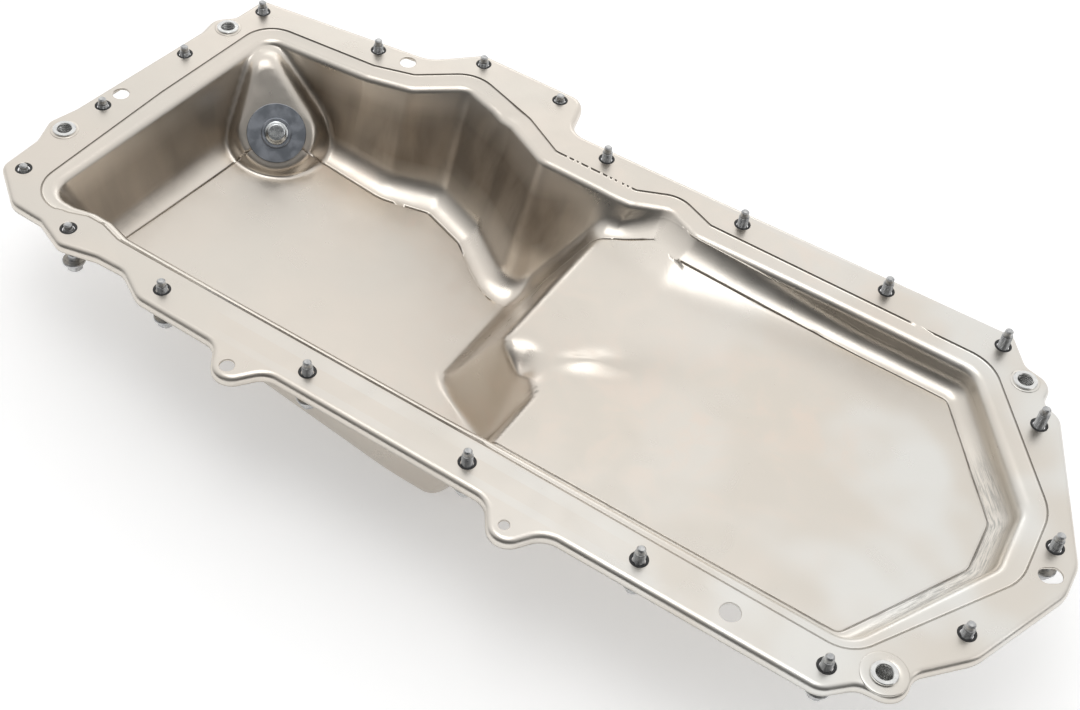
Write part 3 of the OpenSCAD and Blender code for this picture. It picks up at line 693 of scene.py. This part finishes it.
def mark_pan(mesh, first_rib, first_grid, back):
    """Writes the UV maps of the bowl's points."""
    count = len(mesh.vertices)
    foot_v = np.full(count, 90.0)
    top_v = np.full(count, 90.0)
    around = np.zeros(count)
    for base_rib, base_grid in ((first_rib, first_grid), back):
        k = np.arange(RIBS * RIB_LEN)
        foot_v[base_rib + k] = foot_mm.ravel()
        top_v[base_rib + k] = top_mm.ravel()
        around[base_rib + k] = np.repeat(PERIMETER_STEP[:-1], RIB_LEN)
        g = np.arange(grid_mm.size)
        foot_v[base_grid + g] = grid_mm.ravel()
    loops = np.zeros(len(mesh.loops), int)
    mesh.loops.foreach_get("vertex_index", loops)
    face = np.repeat(np.arange(len(mesh.polygons)), [p.loop_total for p in mesh.polygons])
    u = around[loops]
    high = np.zeros(len(mesh.polygons))
    np.maximum.at(high, face, u)
    u = np.where((high[face] > PERIMETER_STEP[-1] * 0.7) & (u < PERIMETER_STEP[-1] * 0.2), u + PERIMETER_STEP[-1], u)
    for name, v in (("foot", foot_v), ("crease", top_v)):
        layer = mesh.uv_layers.new(name=name)
        layer.data.foreach_set("uv", np.stack([u / 100, v[loops] / 100], axis=1).ravel())


skin = Skin()
make_bowl(skin)
make_lip(skin)
make_plate(skin, holes)
pan = skin.build("pressed_pan")
bowl_points = RIBS * RIB_LEN + grid_mm.size
mark_pan(pan.data, 0, RIBS * RIB_LEN, (bowl_points, bowl_points + RIBS * RIB_LEN))


# For the warm stains and the spots of painted shade: how strong each is, its place, its two half widths and its turn in
# degrees
WARM_SPOTS = [
    (0.7, -210, 88, 26, 10, 20), (0.45, 70, 20, 60, 34, -20), (0.35, -20, -20, 60, 30, 0), (0.5, 120, 60, 34, 20, -30),
    (0.5, -150, 95, 40, 8, -12), (0.4, 60, 146, 90, 14, 0), (0.3, -60, 60, 40, 30, 0)]
# Painted shade: dark spots on the floor beside the feet of the walls, at the step and under the drain pad's skirt.
SHADE_SPOTS = [
    (0.5, 140, 108, 42, 8, 0), (0.5, -118, 88, 26, 18, -38), (0.6, -226, 56, 14, 20, 0), (0.4, 28, 34, 24, 10, 30),
    (0.5, -20, -30, 18, 30, 0), (0.4, -62, 38, 22, 30, 60)]


def stain_and_shade_spot(xyz, x, y, rx, ry, turn):
    c, s = math.cos(math.radians(turn)), math.sin(math.radians(turn))
    dx, dy = xyz[:, 0] - x, xyz[:, 1] - y
    return dome((dx * c + dy * s) / rx, (dy * c - dx * s) / ry)


def soft_masks(mesh):
    """Broad colour masks of the sheet: brown painted shade on the sump's walls, cool and warm parts, stains and spots
    of painted shade.
    """
    co = np.array([v.co for v in mesh.vertices]) / MM + DATUM
    x, y, z = co.T
    # Painted shade: the deep far and left walls of the sump get brown, for their dark reflection of the pan's shaded
    # inside.
    deep = ease((-4 - z) / 18) * ease((z + 62) / 18)
    far_wall = ease((y - 96) / 14) * ease((-28 - x) / 40) * deep
    left_wall = ease((-256 - x) / 12) * deep
    painted_sump_shade = np.clip(far_wall + 0.75 * left_wall, 0, 1)
    cool = ease((x + 60) / 300) * ease((z + 40) / 20)
    warm, shade = (sum(share * stain_and_shade_spot(co, *spot) for share, *spot in spots) for spots in (WARM_SPOTS, SHADE_SPOTS))
    gall = ease((x - 205) / 20) * ease((-6 - z) / 4) + 0.5 * ease((-262 - x) / 8) * ease((-30 - z) / 10)
    from_pad = co - PAD_C
    off_pad = ease((pad_outline(from_pad - (from_pad @ PAD_N)[:, None] * PAD_N) - 10) / 16)
    crease_shade_share = off_pad * (0.25 + 0.75 * ease((x + 10) / 40))
    for name, value in (("painted_sump_shade", painted_sump_shade), ("cool", cool), ("warm", warm), ("shade", shade), ("gall", gall),
                        ("crease_shade_share", crease_shade_share)):
        layer = mesh.attributes.new(name, "FLOAT", "POINT")
        layer.data.foreach_set("value", np.clip(value, 0, 1))


soft_masks(pan.data)
work = bmesh.new()
work.from_mesh(pan.data)
bmesh.ops.remove_doubles(work, verts=work.verts, dist=1e-6)
open_edges = sum(1 for e in work.edges if len(e.link_faces) != 2)
work.to_mesh(pan.data)
work.free()
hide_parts("pan_shell")
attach(pan, "pan")
print("pan faces", len(pan.data.polygons), "open edges", open_edges)

# %% [markdown]
# The procedural finishes come next, with a small helper that adds shader nodes by name. Each finish
# starts from the bare metal's colour and roughness, and then adds what the press, the air and the
# spanner have done to it.

# %% Shader helper


class Graph:
    """A node tree with short ways to add nodes."""

    def __init__(self, owner):
        owner.use_nodes = True
        self.tree = owner.node_tree

    def node(self, kind, **props):
        made = self.tree.nodes.new(kind)
        for key, value in props.items():
            setattr(made, key, value)
        return made

    def put(self, socket, value):
        if isinstance(value, bpy.types.NodeSocket):
            self.tree.links.new(value, socket)
        else:
            socket.default_value = value

    def math(self, op, a, b=0.0, c=None, clamp=False):
        made = self.node("ShaderNodeMath", operation=op, use_clamp=clamp)
        self.put(made.inputs[0], a)
        self.put(made.inputs[1], b)
        if c is not None:
            self.put(made.inputs[2], c)
        return made.outputs[0]

    def times(self, a, b):
        return self.math("MULTIPLY", a, b)

    def steps(self, value, low, high, to_low=0.0, to_high=1.0):
        made = self.node("ShaderNodeMapRange", interpolation_type="SMOOTHSTEP")
        for key, v in zip(("Value", "From Min", "From Max", "To Min", "To Max"), (value, low, high, to_low, to_high)):
            self.put(made.inputs[key], v)
        return made.outputs["Result"]


class Finish(Graph):
    """A node material for bare metal or rubber."""

    def __init__(self, name, metallic=1.0):
        self.mat = bpy.data.materials.new(name)
        super().__init__(self.mat)
        self.shader = self.tree.nodes["Principled BSDF"]
        self.shader.inputs["Metallic"].default_value = metallic
        self.place = self.node("ShaderNodeTexCoord").outputs["Object"]

    def mix(self, share, a, b, blend="MIX"):
        made = self.node("ShaderNodeMix", data_type="RGBA", blend_type=blend)
        self.put(made.inputs["Factor"], share)
        for key, v in ((6, a), (7, b)):
            self.put(made.inputs[key], v if isinstance(v, bpy.types.NodeSocket) else tuple(v) + (1.0,))
        return made.outputs[2]

    def stretch(self, vector, scale, turn=0.0):
        made = self.node("ShaderNodeMapping")
        self.put(made.inputs["Vector"], vector)
        made.inputs["Scale"].default_value = scale
        made.inputs["Rotation"].default_value = (0, 0, math.radians(turn))
        return made.outputs["Vector"]

    def noise(self, vector, scale, detail=3.0, rough=0.5, warp=0.0):
        made = self.node("ShaderNodeTexNoise")
        self.put(made.inputs["Vector"], vector)
        made.inputs["Scale"].default_value = scale
        made.inputs["Detail"].default_value = detail
        made.inputs["Roughness"].default_value = rough
        made.inputs["Distortion"].default_value = warp
        return made.outputs["Fac"]

    def uv(self, name):
        return self.node("ShaderNodeUVMap", uv_map=name).outputs["UV"]

    def part(self, vector, axis):
        made = self.node("ShaderNodeSeparateXYZ")
        self.put(made.inputs[0], vector)
        return made.outputs[axis]

    def value(self, name):
        return self.node("ShaderNodeAttribute", attribute_name=name).outputs["Fac"]

    def bump(self, height, strength, distance, before=None):
        made = self.node("ShaderNodeBump")
        made.inputs["Strength"].default_value = strength
        made.inputs["Distance"].default_value = distance
        self.put(made.inputs["Height"], height)
        if before is not None:
            self.put(made.inputs["Normal"], before)
        return made.outputs["Normal"]

    def end(self, color, rough, normal=None):
        self.put(self.shader.inputs["Base Color"], color)
        self.put(self.shader.inputs["Roughness"], rough)
        if normal is not None:
            self.put(self.shader.inputs["Normal"], normal)
        return self.mat


# %% [markdown]
# The pan's own finish. The steel is satin, warm towards the sump and cooler towards the shallow end,
# with painted shade in brown on the sump's deep walls, thin lines of painted shade along the creases at
# both ends of each fillet, a rubbed band at the shallow end, faint stains, spots of painted shade on the floor and fine
# scratches.

# %% Finish of the pressed sheet


def line(f, v, at, width):
    """Thin line where the mm coordinate v passes a value; v is in hundredths."""
    away = f.math("ABSOLUTE", f.math("SUBTRACT", v, at / 100))
    return f.steps(away, 0.0, width / 100, 1.0, 0.0)


def sheet_finish():
    f = Finish("pressed_sheet")
    foot_uv, crease_uv = f.uv("foot"), f.uv("crease")
    around, foot_v = f.part(foot_uv, 0), f.part(foot_uv, 1)
    crease_v = f.part(crease_uv, 1)
    soft = f.noise(f.place, 14.0, 2.0)
    cloud = f.noise(f.place, 45.0, 4.0, 0.6, 0.6)
    fine = f.noise(f.place, 900.0, 2.0)
    base = f.mix(f.value("cool"), (0.72, 0.665, 0.595), (0.76, 0.75, 0.715))
    base = f.mix(f.steps(soft, 0.42, 0.62), base, (0.70, 0.655, 0.59))
    base = f.mix(f.times(f.steps(cloud, 0.45, 0.7), f.value("warm")), base, (0.78, 0.665, 0.585))
    base = f.mix(f.times(f.value("warm"), 0.35), base, (0.74, 0.645, 0.53))
    # Painted shade: the floor darkens in the shade spots.
    base = f.mix(f.times(f.value("shade"), 0.5), base, (0.42, 0.38, 0.34))
    # Painted shade: the sump's deep walls turn a streaked brown.
    sump_shade_streaks = f.noise(f.stretch(f.place, (70, 70, 7)), 1.0, 3.0, 0.5, 0.3)
    brown = f.mix(f.steps(sump_shade_streaks, 0.3, 0.7), (0.36, 0.305, 0.25), (0.24, 0.205, 0.17))
    base = f.mix(f.times(f.value("painted_sump_shade"), f.steps(soft, 0.25, 0.6, 0.7, 0.95)), base, brown)
    on_rib = f.steps(foot_v, 0.0, 0.02, 1.0, 0.0)
    wobble = f.math("MULTIPLY_ADD", f.noise(f.place, 60.0, 2.0), 0.05, -0.025)
    foot_line = f.math("ADD", foot_v, wobble)
    crease_line = f.math("ADD", crease_v, wobble)
    # Painted shade: thin dark lines along the creases at the foot and the top of each fillet, kept off the drain pad.
    broken = f.times(f.steps(f.noise(f.place, 30.0, 4.0, 0.6), 0.40, 0.64), f.value("crease_shade_share"))
    crease = f.math("MAXIMUM", line(f, foot_line, -0.3, 1.2), f.times(line(f, crease_line, 0.5, 0.9), 0.5))
    crease = f.times(crease, broken)
    streak_place = f.node("ShaderNodeCombineXYZ")
    f.put(streak_place.inputs[0], around)
    f.put(streak_place.inputs[1], f.times(foot_v, 14.0))
    streak = f.noise(streak_place.outputs[0], 9.0, 6.0, 0.7, 0.4)
    band = f.times(f.times(f.value("gall"), f.steps(foot_v, -0.16, -0.06)), on_rib)
    rubbed = f.times(band, f.steps(streak, 0.42, 0.62))
    base = f.mix(f.times(rubbed, 0.6), base, (0.30, 0.30, 0.29))
    # Painted shade: the crease lines darken the colour.
    base = f.mix(f.times(crease, 0.42), base, (0.22, 0.195, 0.17))
    scratch_a = f.noise(f.stretch(f.place, (900, 26, 26), 24), 1.0, 2.0, 0.6)
    scratch_b = f.noise(f.stretch(f.place, (30, 1100, 30), -12), 1.0, 2.0, 0.6)
    scratches = f.math("MAXIMUM", f.steps(scratch_a, 0.72, 0.80), f.steps(scratch_b, 0.72, 0.80))
    base = f.mix(f.times(scratches, 0.05), base, (0.42, 0.38, 0.34))
    rough = f.math("ADD", f.steps(cloud, 0.3, 0.7, 0.27, 0.36), f.times(rubbed, 0.14))
    rough = f.math("ADD", rough, f.times(f.value("painted_sump_shade"), 0.08))
    dents = f.bump(f.noise(f.place, 26.0, 2.0), 0.10, 0.004)
    grain = f.bump(fine, 0.06, 0.0004, dents)
    normal = f.bump(f.times(streak, band), 0.5, 0.0006, grain)
    normal = f.bump(f.times(crease, -1.0), 0.25, 0.0006, normal)
    return f.end(base, rough, normal)


pan.data.materials.append(sheet_finish())

# %% [markdown]
# The screws are the small part that repeats: twenty of them, each hanging at its own height. One
# geometry tree makes them all. Its thread is not a stack of rings: the side of a cylinder is drawn in
# along a helix, so the crest climbs one pitch in each turn as a cut thread does.

# %% Captive screw tree


def screw_tree():
    tree = bpy.data.node_groups.new("captive_screw", "GeometryNodeTree")
    tree.is_modifier = True
    ids = {}
    for name, value in (("Thread Radius", 3.0), ("Thread Depth", 0.55), ("Pitch", 1.0), ("Length", 26.0),
                        ("Pilot Radius", 2.25), ("Pilot Length", 3.0), ("Pilot Chamfer", 0.7), ("Flange Radius", 6.25),
                        ("Flange Thickness", 1.5), ("Hex Width", 8.0), ("Hex Height", 5.0)):
        socket = tree.interface.new_socket(name=name, in_out="INPUT", socket_type="NodeSocketFloat")
        socket.default_value = value * MM
        ids[name] = socket.identifier
    socket = tree.interface.new_socket(name="Turn", in_out="INPUT", socket_type="NodeSocketFloat")
    ids["Turn"] = socket.identifier
    socket = tree.interface.new_socket(name="Material", in_out="INPUT", socket_type="NodeSocketMaterial")
    ids["Material"] = socket.identifier
    tree.interface.new_socket(name="Geometry", in_out="OUTPUT", socket_type="NodeSocketGeometry")
    given = list(tree.nodes.new("NodeGroupInput").outputs)
    thread_r, thread_depth, pitch, length, pilot_r, pilot_len, chamfer, flange_r, flange_t, hex_w, hex_h = given[:11]
    turn, paint = given[11:13]
    out = tree.nodes.new("NodeGroupOutput")

    def node(kind, inputs=(), **props):
        made = tree.nodes.new(kind)
        for key, value in props.items():
            setattr(made, key, value)
        for key, value in dict(inputs).items():
            if isinstance(value, bpy.types.NodeSocket):
                tree.links.new(value, made.inputs[key])
            else:
                made.inputs[key].default_value = value
        return made

    def calc(op, a, b=0.0, c=0.0):
        return node("ShaderNodeMath", {0: a, 1: b, 2: c}, operation=op).outputs[0]

    def times(a, b):
        return calc("MULTIPLY", a, b)

    def plus(a, b):
        return calc("ADD", a, b)

    def minus(a, b):
        return calc("SUBTRACT", a, b)

    def vector(x, y, z):
        return node("ShaderNodeCombineXYZ", {0: x, 1: y, 2: z}).outputs[0]

    def moved(geometry, z):
        return node("GeometryNodeTransform", {"Geometry": geometry, "Translation": vector(0.0, 0.0, z)}).outputs[0]

    def cylinder(radius, height, low, sides, rows=1):
        made = node("GeometryNodeMeshCylinder", {
            "Vertices": sides, "Side Segments": rows, "Radius": radius, "Depth": height})
        return moved(made.outputs["Mesh"], plus(low, times(height, 0.5)))

    def cone(r_low, r_high, height, low, sides):
        made = node("GeometryNodeMeshCone", {
            "Vertices": sides, "Radius Bottom": r_low, "Radius Top": r_high, "Depth": height})
        return moved(made.outputs["Mesh"], low)

    place = node("ShaderNodeSeparateXYZ", {0: node("GeometryNodeInputPosition").outputs[0]})
    x, y, z = place.outputs
    angle = calc("ARCTAN2", y, x)

    def scaled(geometry, share):
        at = vector(times(x, share), times(y, share), z)
        return node("GeometryNodeSetPosition", {"Geometry": geometry, "Position": at}).outputs[0]

    down = times(length, -1.0)
    pilot_low = times(pilot_len, -1.0)
    chamfer_low = times(chamfer, -1.0)
    body = cylinder(thread_r, minus(length, pilot_len), down, 32, 184)
    turn_share = minus(calc("DIVIDE", z, pitch), calc("DIVIDE", angle, 2 * math.pi))
    wave = calc("PINGPONG", turn_share, 0.5)
    groove = calc("MINIMUM", times(wave, 2.4), 1.0)
    start = node("ShaderNodeMapRange", {
        "Value": z, "From Min": pilot_low, "From Max": times(pilot_low, 1.35)},
        interpolation_type="LINEAR").outputs[0]
    end = node("ShaderNodeMapRange", {"Value": z, "From Min": -0.0225, "From Max": -0.0205}).outputs[0]
    depth = times(times(groove, thread_depth), times(start, end))
    lead = times(minus(1.0, start), times(thread_depth, 0.9))
    share = minus(1.0, calc("DIVIDE", plus(depth, lead), thread_r))
    # The thread's groove is kept as a mask for the painted shade in its root.
    marked = node("GeometryNodeStoreNamedAttribute", {
        "Geometry": body, "Name": "recess", "Value": times(groove, times(start, end))},
        data_type="FLOAT", domain="POINT").outputs[0]
    body = scaled(marked, share)
    pilot = cylinder(pilot_r, minus(pilot_len, chamfer), pilot_low, 32)
    tip = cone(pilot_r, minus(pilot_r, chamfer),
               chamfer, chamfer_low, 32)
    edge = 0.4 * MM
    flange_low = minus(down, flange_t)
    flange = cylinder(flange_r, minus(flange_t, edge), flange_low, 48)
    seat = cone(flange_r, minus(flange_r, edge), edge, minus(down, edge), 48)
    hex_low = minus(flange_low, hex_h)
    hexagon = cylinder(hex_w, plus(hex_h, 0.5 * MM), hex_low, 48, 10)
    half = times(hex_w, 0.5)
    flat = calc("DIVIDE", half, calc("COSINE", calc("WRAP", angle, math.pi / 6, -math.pi / 6)))
    corner = plus(half, times(minus(z, hex_low), 1.2))
    hexagon = scaled(hexagon, calc("DIVIDE", calc("MINIMUM", flat, corner), hex_w))
    joined = node("GeometryNodeJoinGeometry")
    for piece in (body, pilot, tip, flange, seat, hexagon):
        tree.links.new(piece, joined.inputs[0])
    turned = node("GeometryNodeTransform", {
        "Geometry": joined.outputs[0], "Rotation": vector(0.0, 0.0, turn)}).outputs[0]
    sharp = node("FunctionNodeCompare", {
        0: node("GeometryNodeInputMeshEdgeAngle").outputs["Unsigned Angle"], 1: math.radians(38)},
        data_type="FLOAT", operation="GREATER_THAN").outputs[0]
    edged = node("GeometryNodeStoreNamedAttribute", {"Geometry": turned, "Name": "sharp_edge", "Value": sharp},
                 data_type="BOOLEAN", domain="EDGE").outputs[0]
    smooth = node("GeometryNodeSetShadeSmooth", {"Geometry": edged}).outputs[0]
    whole = node("GeometryNodeRealizeInstances", {"Geometry": smooth}).outputs[0]
    painted = node("GeometryNodeSetMaterial", {"Geometry": whole, "Material": paint}).outputs[0]
    tree.links.new(painted, out.inputs[0])
    return tree, ids


def fastener_finish():
    """Grey zinc, with painted shade in the thread's root, which leaves the crests brighter."""
    f = Finish("zinc_fastener")
    patch = f.noise(f.place, 420.0, 3.0)
    fine = f.noise(f.place, 2600.0, 2.0)
    base = f.mix(f.steps(patch, 0.35, 0.65), (0.42, 0.425, 0.43), (0.60, 0.60, 0.59))
    # Painted shade: the thread's root is darkened.
    base = f.mix(f.times(f.value("recess"), 0.75), base, (0.07, 0.068, 0.065))
    rough = f.steps(patch, 0.3, 0.7, 0.26, 0.42)
    return f.end(base, rough, f.bump(fine, 0.2, 0.0002))


tree, ids = screw_tree()
zinc = fastener_finish()
for count, name in enumerate(screw_names):
    low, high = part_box(name)
    host = bpy.data.objects.new(name + "_host", bpy.data.meshes.new(name + "_host"))
    bpy.context.collection.objects.link(host)
    modifier = host.modifiers.new("screw", "NODES")
    modifier.node_group = tree
    modifier[ids["Turn"]] = math.radians(47.0 * count % 60)
    modifier[ids["Material"]] = zinc
    bpy.context.view_layer.update()
    mesh = bpy.data.meshes.new_from_object(host.evaluated_get(bpy.context.evaluated_depsgraph_get()))
    bpy.data.objects.remove(host)
    mesh.transform(Matrix.Translation(((low.x + high.x) / 2, (low.y + high.y) / 2, high.z)))
    piece = bpy.data.objects.new("captive_" + name, mesh)
    bpy.context.collection.objects.link(piece)
    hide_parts(name)
    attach(piece, name + "_body")
print("screws", len(screw_names), "faces each", len(mesh.polygons))

# %% [markdown]
# The inserts, the drain washer with its collar, the plug and the small rings in the screw holes are
# all turned parts. One lathe helper makes them from a profile, and draws a helix into the rows that
# carry a thread.

# %% Lathe


def thread_rows(r, z0, z1, pitch):
    """Rows of a straight wall that are close enough together to carry a thread."""
    n = max(2, int(abs(z1 - z0) / pitch * 8))
    return [(r, z0 + (z1 - z0) * k / n) for k in range(n + 1)]


def lathe(skin, profile, place, steps=64, thread=None, hex_width=None, recess=None):
    """Turns a profile of (radius, height) rows; the ends meet on the axis or in each other."""
    turn = np.linspace(0, 2 * math.pi, steps, endpoint=False)
    rows, marks = [], []
    on_axis = profile[0][0] == 0
    for r, z in profile:
        radius = np.full(steps, float(r))
        mark = np.zeros(steps)
        if thread and abs(r - thread[0]) < 1e-6 and r > 0:
            z0, z1, pitch, depth = thread[1:]
            wave = np.abs((z / pitch - turn / (2 * math.pi)) % 1.0 * 2 - 1)
            fade = ease((z - z0) / pitch) * ease((z1 - z) / pitch)
            radius += depth * wave * fade
            mark = (1 - wave if depth < 0 else wave) * fade
        if hex_width:
            radius = np.minimum(radius, hex_width / 2 / np.cos((turn + math.pi / 6) % (math.pi / 3) - math.pi / 6))
        points = np.stack([radius * np.cos(turn), radius * np.sin(turn), np.full(steps, float(z))], axis=1)
        if on_axis and r == 0:
            points = points[:1]
        ids = skin.add([place @ Vector(p) for p in points])
        rows.append(ids)
        if recess is not None:
            recess += list(mark[:len(points)])
    pairs = list(zip(rows, rows[1:])) + ([] if on_axis else [(rows[-1], rows[0])])
    for a, b in pairs:
        if len(a) == 1 or len(b) == 1:
            tip, ring = (a, b) if len(a) == 1 else (b, a)
            for i in range(steps):
                j = (i + 1) % steps
                face = (tip[0], ring[j], ring[i])
                skin.faces.append(face if len(a) == 1 else face[::-1])
                skin.flat.append(False)
        else:
            skin.strip(b, a)


def sharpen(obj, degrees=35.0):
    """Keeps smooth shading but breaks it at real edges."""
    mesh = obj.data
    work = bmesh.new()
    work.from_mesh(mesh)
    for edge in work.edges:
        edge.smooth = edge.calc_face_angle(0.0) < math.radians(degrees)
    work.to_mesh(mesh)
    work.free()


def finish_piece(skin, name, body, nodes, material, recess=None):
    obj = skin.build(name)
    if recess is not None:
        layer = obj.data.attributes.new("recess", "FLOAT", "POINT")
        layer.data.foreach_set("value", recess)
    sharpen(obj)
    obj.data.materials.append(material)
    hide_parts(*nodes)
    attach(obj, body)
    return obj


def steel_finish(name, dark, light, rough_low, rough_high, scale=260.0):
    """Machined steel: patches, fine grain and painted shade in the thread roots."""
    f = Finish(name)
    patch = f.noise(f.place, scale, 3.0)
    base = f.mix(f.steps(patch, 0.35, 0.65), dark, light)
    # Painted shade: the thread roots are darkened.
    base = f.mix(f.times(f.value("recess"), 0.8), base, (0.05, 0.048, 0.045))
    grain = f.bump(f.noise(f.place, 2200.0, 2.0), 0.15, 0.0002)
    return f.end(base, f.steps(patch, 0.3, 0.7, rough_low, rough_high), grain)


def rubber_finish(name, scale, dark, light, rough):
    f = Finish(name, 0.0)
    return f.end(f.mix(f.noise(f.place, scale), dark, light), rough)


# %% Inserts and rings
insert_steel = steel_finish("insert_steel", (0.70, 0.70, 0.69), (0.80, 0.80, 0.78), 0.20, 0.28)
for name in insert_names:
    x, y, _ = middle(name)
    low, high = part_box(name)
    top, bottom = high.z / MM, low.z / MM
    recess = []
    part = Skin()
    profile = [(4.4, top), (6.15, top), (6.5, top - 0.3), (6.5, top - 0.9), (5.5, top - 0.9), (5.5, -1.5), (6.5, -1.5),
               (6.5, -3.3), (6.3, -3.5), (5.5, -3.5), (5.5, bottom + 0.5), (5.1, bottom), (4.4, bottom)]
    profile += thread_rows(4.0, bottom + 0.4, top - 0.4, 1.25)
    lathe(part, profile, Matrix.Translation((x, y, 0)), 72, (4.0, bottom + 0.4, top - 0.4, 1.25, 0.6), recess=recess)
    finish_piece(part, "threaded_" + name, "pan", [name], insert_steel, recess)

rings = Skin()
for name in screw_names:
    x, y, _ = middle(name)
    profile = [(3.3, -0.45), (3.5, -0.2), (4.35, -0.2), (4.55, -0.4), (4.55, -1.1), (4.35, -1.3), (3.5, -1.3),
               (3.3, -1.05)]
    lathe(rings, profile, Matrix.Translation((x, y, 0)), 40)
ring_mat = rubber_finish("ring_rubber", 300.0, (0.02, 0.02, 0.021), (0.045, 0.045, 0.046), 0.6)
finish_piece(rings, "retaining_rings", "pan", ["screw_retainers"], ring_mat)

# %% [markdown]
# The drain stands on the pad, so its parts are turned about the pad's direction. Inside the pan one
# sees a wide blue-grey washer, the bright end of the threaded collar, and the plug's rounded end.
# Outside there is the plug's hexagon with its flange and a soft seal.

# %% Drain
PAD_TURN = Matrix.Translation(tuple(PAD_C)) @ (
    Vector((0, 0, 1)).rotation_difference(Vector(tuple(PAD_N))).to_matrix().to_4x4())
WASHER_R = 17.75
NUT_THREAD_R = 7.0
PLUG_THREAD_R = 6.95
DRAIN_PITCH = 1.5
recess = []
nut = Skin()
profile = [(7.3, 3.8), (8.6, 3.8), (9.0, 3.4), (9.0, 1.6), (WASHER_R - 0.3, 1.6), (WASHER_R, 1.3), (WASHER_R, 0.25),
           (WASHER_R - 0.25, 0.0), (7.3, 0.0)]
profile += thread_rows(NUT_THREAD_R, 0.3, 3.5, DRAIN_PITCH)
lathe(nut, profile, PAD_TURN, 96, (NUT_THREAD_R, 0.3, 3.5, DRAIN_PITCH, 0.7), recess=recess)
washer_mat = steel_finish("washer_steel", (0.33, 0.355, 0.395), (0.42, 0.445, 0.49), 0.28, 0.42, 160.0)
finish_piece(nut, "drain_washer", "pan", ["drain_nut"], washer_mat, recess)

recess = []
plug = Skin()
profile = [(0.0, 7.0), (4.6, 7.0), (5.3, 6.75), (5.7, 6.2), (5.7, 4.6), (6.2, 4.2)]
profile += thread_rows(PLUG_THREAD_R, 3.9, -2.4, DRAIN_PITCH)
profile += [(6.4, -2.6), (6.4, -3.0), (11.2, -3.0), (11.5, -3.3), (11.5, -5.0), (10.6, -5.5), (0.0, -5.5)]
lathe(plug, profile, PAD_TURN, 72, (PLUG_THREAD_R, -2.4, 3.9, DRAIN_PITCH, -0.8), recess=recess)
hexagon = [(0.0, -5.0), (9.9, -5.0), (9.9, -11.6), (8.6, -12.5), (0.0, -12.5)]
lathe(plug, hexagon, PAD_TURN, 72, hex_width=17.0, recess=recess)
plug_mat = steel_finish("plug_steel", (0.50, 0.52, 0.53), (0.72, 0.74, 0.74), 0.16, 0.32, 500.0)
finish_piece(plug, "drain_plug_turned", "pan", ["drain_plug"], plug_mat, recess)

seal = Skin()
profile = [(7.05, -1.7), (7.2, -1.5), (11.2, -1.5), (11.5, -1.8), (11.5, -2.7), (11.2, -3.0), (7.2, -3.0), (7.05, -2.8)]
lathe(seal, profile, PAD_TURN, 72)
seal_mat = rubber_finish("seal_rubber", 260.0, (0.02, 0.02, 0.02), (0.04, 0.04, 0.042), 0.55)
finish_piece(seal, "drain_gasket", "pan", ["drain_seal"], seal_mat)

# %% [markdown]
# The studio is plain: a pale floor that keeps the object's shadow, a white surround that darkens
# towards the camera as a real room does, and three soft lamps, the widest overhead. Bare metal shows
# its surroundings, so the place of the lamps decides where the fillets catch a bright band.

# %% Studio
PAPER_GLOW = 0.34
floor_z_m = min(cad_box[0][2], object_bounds()[0][2]) - 0.0003
ground_mesh = bpy.data.meshes.new("studio_floor")
corners = [(x, y, floor_z_m) for x, y in ((-6, -6), (6, -6), (6, 6), (-6, 6))]
ground_mesh.from_pydata(corners, [], [(0, 1, 2, 3)])
ground = bpy.data.objects.new("studio_floor", ground_mesh)
bpy.context.collection.objects.link(ground)
paper = bpy.data.materials.new("studio_paper")
g = Graph(paper)
g.tree.nodes.clear()
paint = g.node("ShaderNodeBsdfDiffuse")
g.put(paint.inputs["Color"], (0.86, 0.86, 0.86, 1))
glow = g.node("ShaderNodeEmission")
rays = g.node("ShaderNodeLightPath").outputs
g.put(glow.inputs["Strength"], g.times(g.math("MAXIMUM", rays["Is Camera Ray"], rays["Is Glossy Ray"]), PAPER_GLOW))
both = g.node("ShaderNodeAddShader")
g.put(both.inputs[0], paint.outputs[0])
g.put(both.inputs[1], glow.outputs[0])
g.put(g.node("ShaderNodeOutputMaterial").inputs["Surface"], both.outputs[0])
ground_mesh.materials.append(paper)

world = bpy.data.worlds.new("studio")
bpy.context.scene.world = world
g = Graph(world)
facing = g.node("ShaderNodeVectorMath", operation="DOT_PRODUCT")
g.put(facing.inputs[0], g.node("ShaderNodeTexCoord").outputs["Generated"])
g.put(facing.inputs[1], tuple(unit([-0.35, 0.70, 0.62])))
fall = g.steps(facing.outputs["Value"], -0.35, 0.75, 0.10, 1.0)
rays = g.node("ShaderNodeLightPath").outputs
background = g.tree.nodes["Background"]
g.put(background.inputs["Strength"], g.math("MAXIMUM", rays["Is Camera Ray"], fall))
g.put(background.inputs["Color"], (1, 1, 1, 1))


def softbox(name, at, to, width, depth, brightness):
    """Area lamp given by how bright its face looks, so its power follows its size."""
    data = bpy.data.lights.new(name, "AREA")
    data.shape = "RECTANGLE"
    data.size, data.size_y = width, depth
    data.energy = brightness * math.pi * width * depth
    obj = bpy.data.objects.new(name, data)
    bpy.context.collection.objects.link(obj)
    obj.location = at
    obj.rotation_euler = (Vector(to) - Vector(at)).to_track_quat("-Z", "Y").to_euler()


softbox("overhead", (0.0, 0.0, 1.5), (0.1, 0.1, 0.0), 1.1, 0.7, 1.6)
softbox("back_strip", (-0.7, 1.6, 0.7), (0.1, 0.1, 0.0), 1.4, 0.25, 1.6)
softbox("right_fill", (1.7, 0.4, 0.9), (0.1, 0.1, 0.0), 0.6, 0.9, 0.9)
bpy.context.scene.view_settings.view_transform = "Standard"
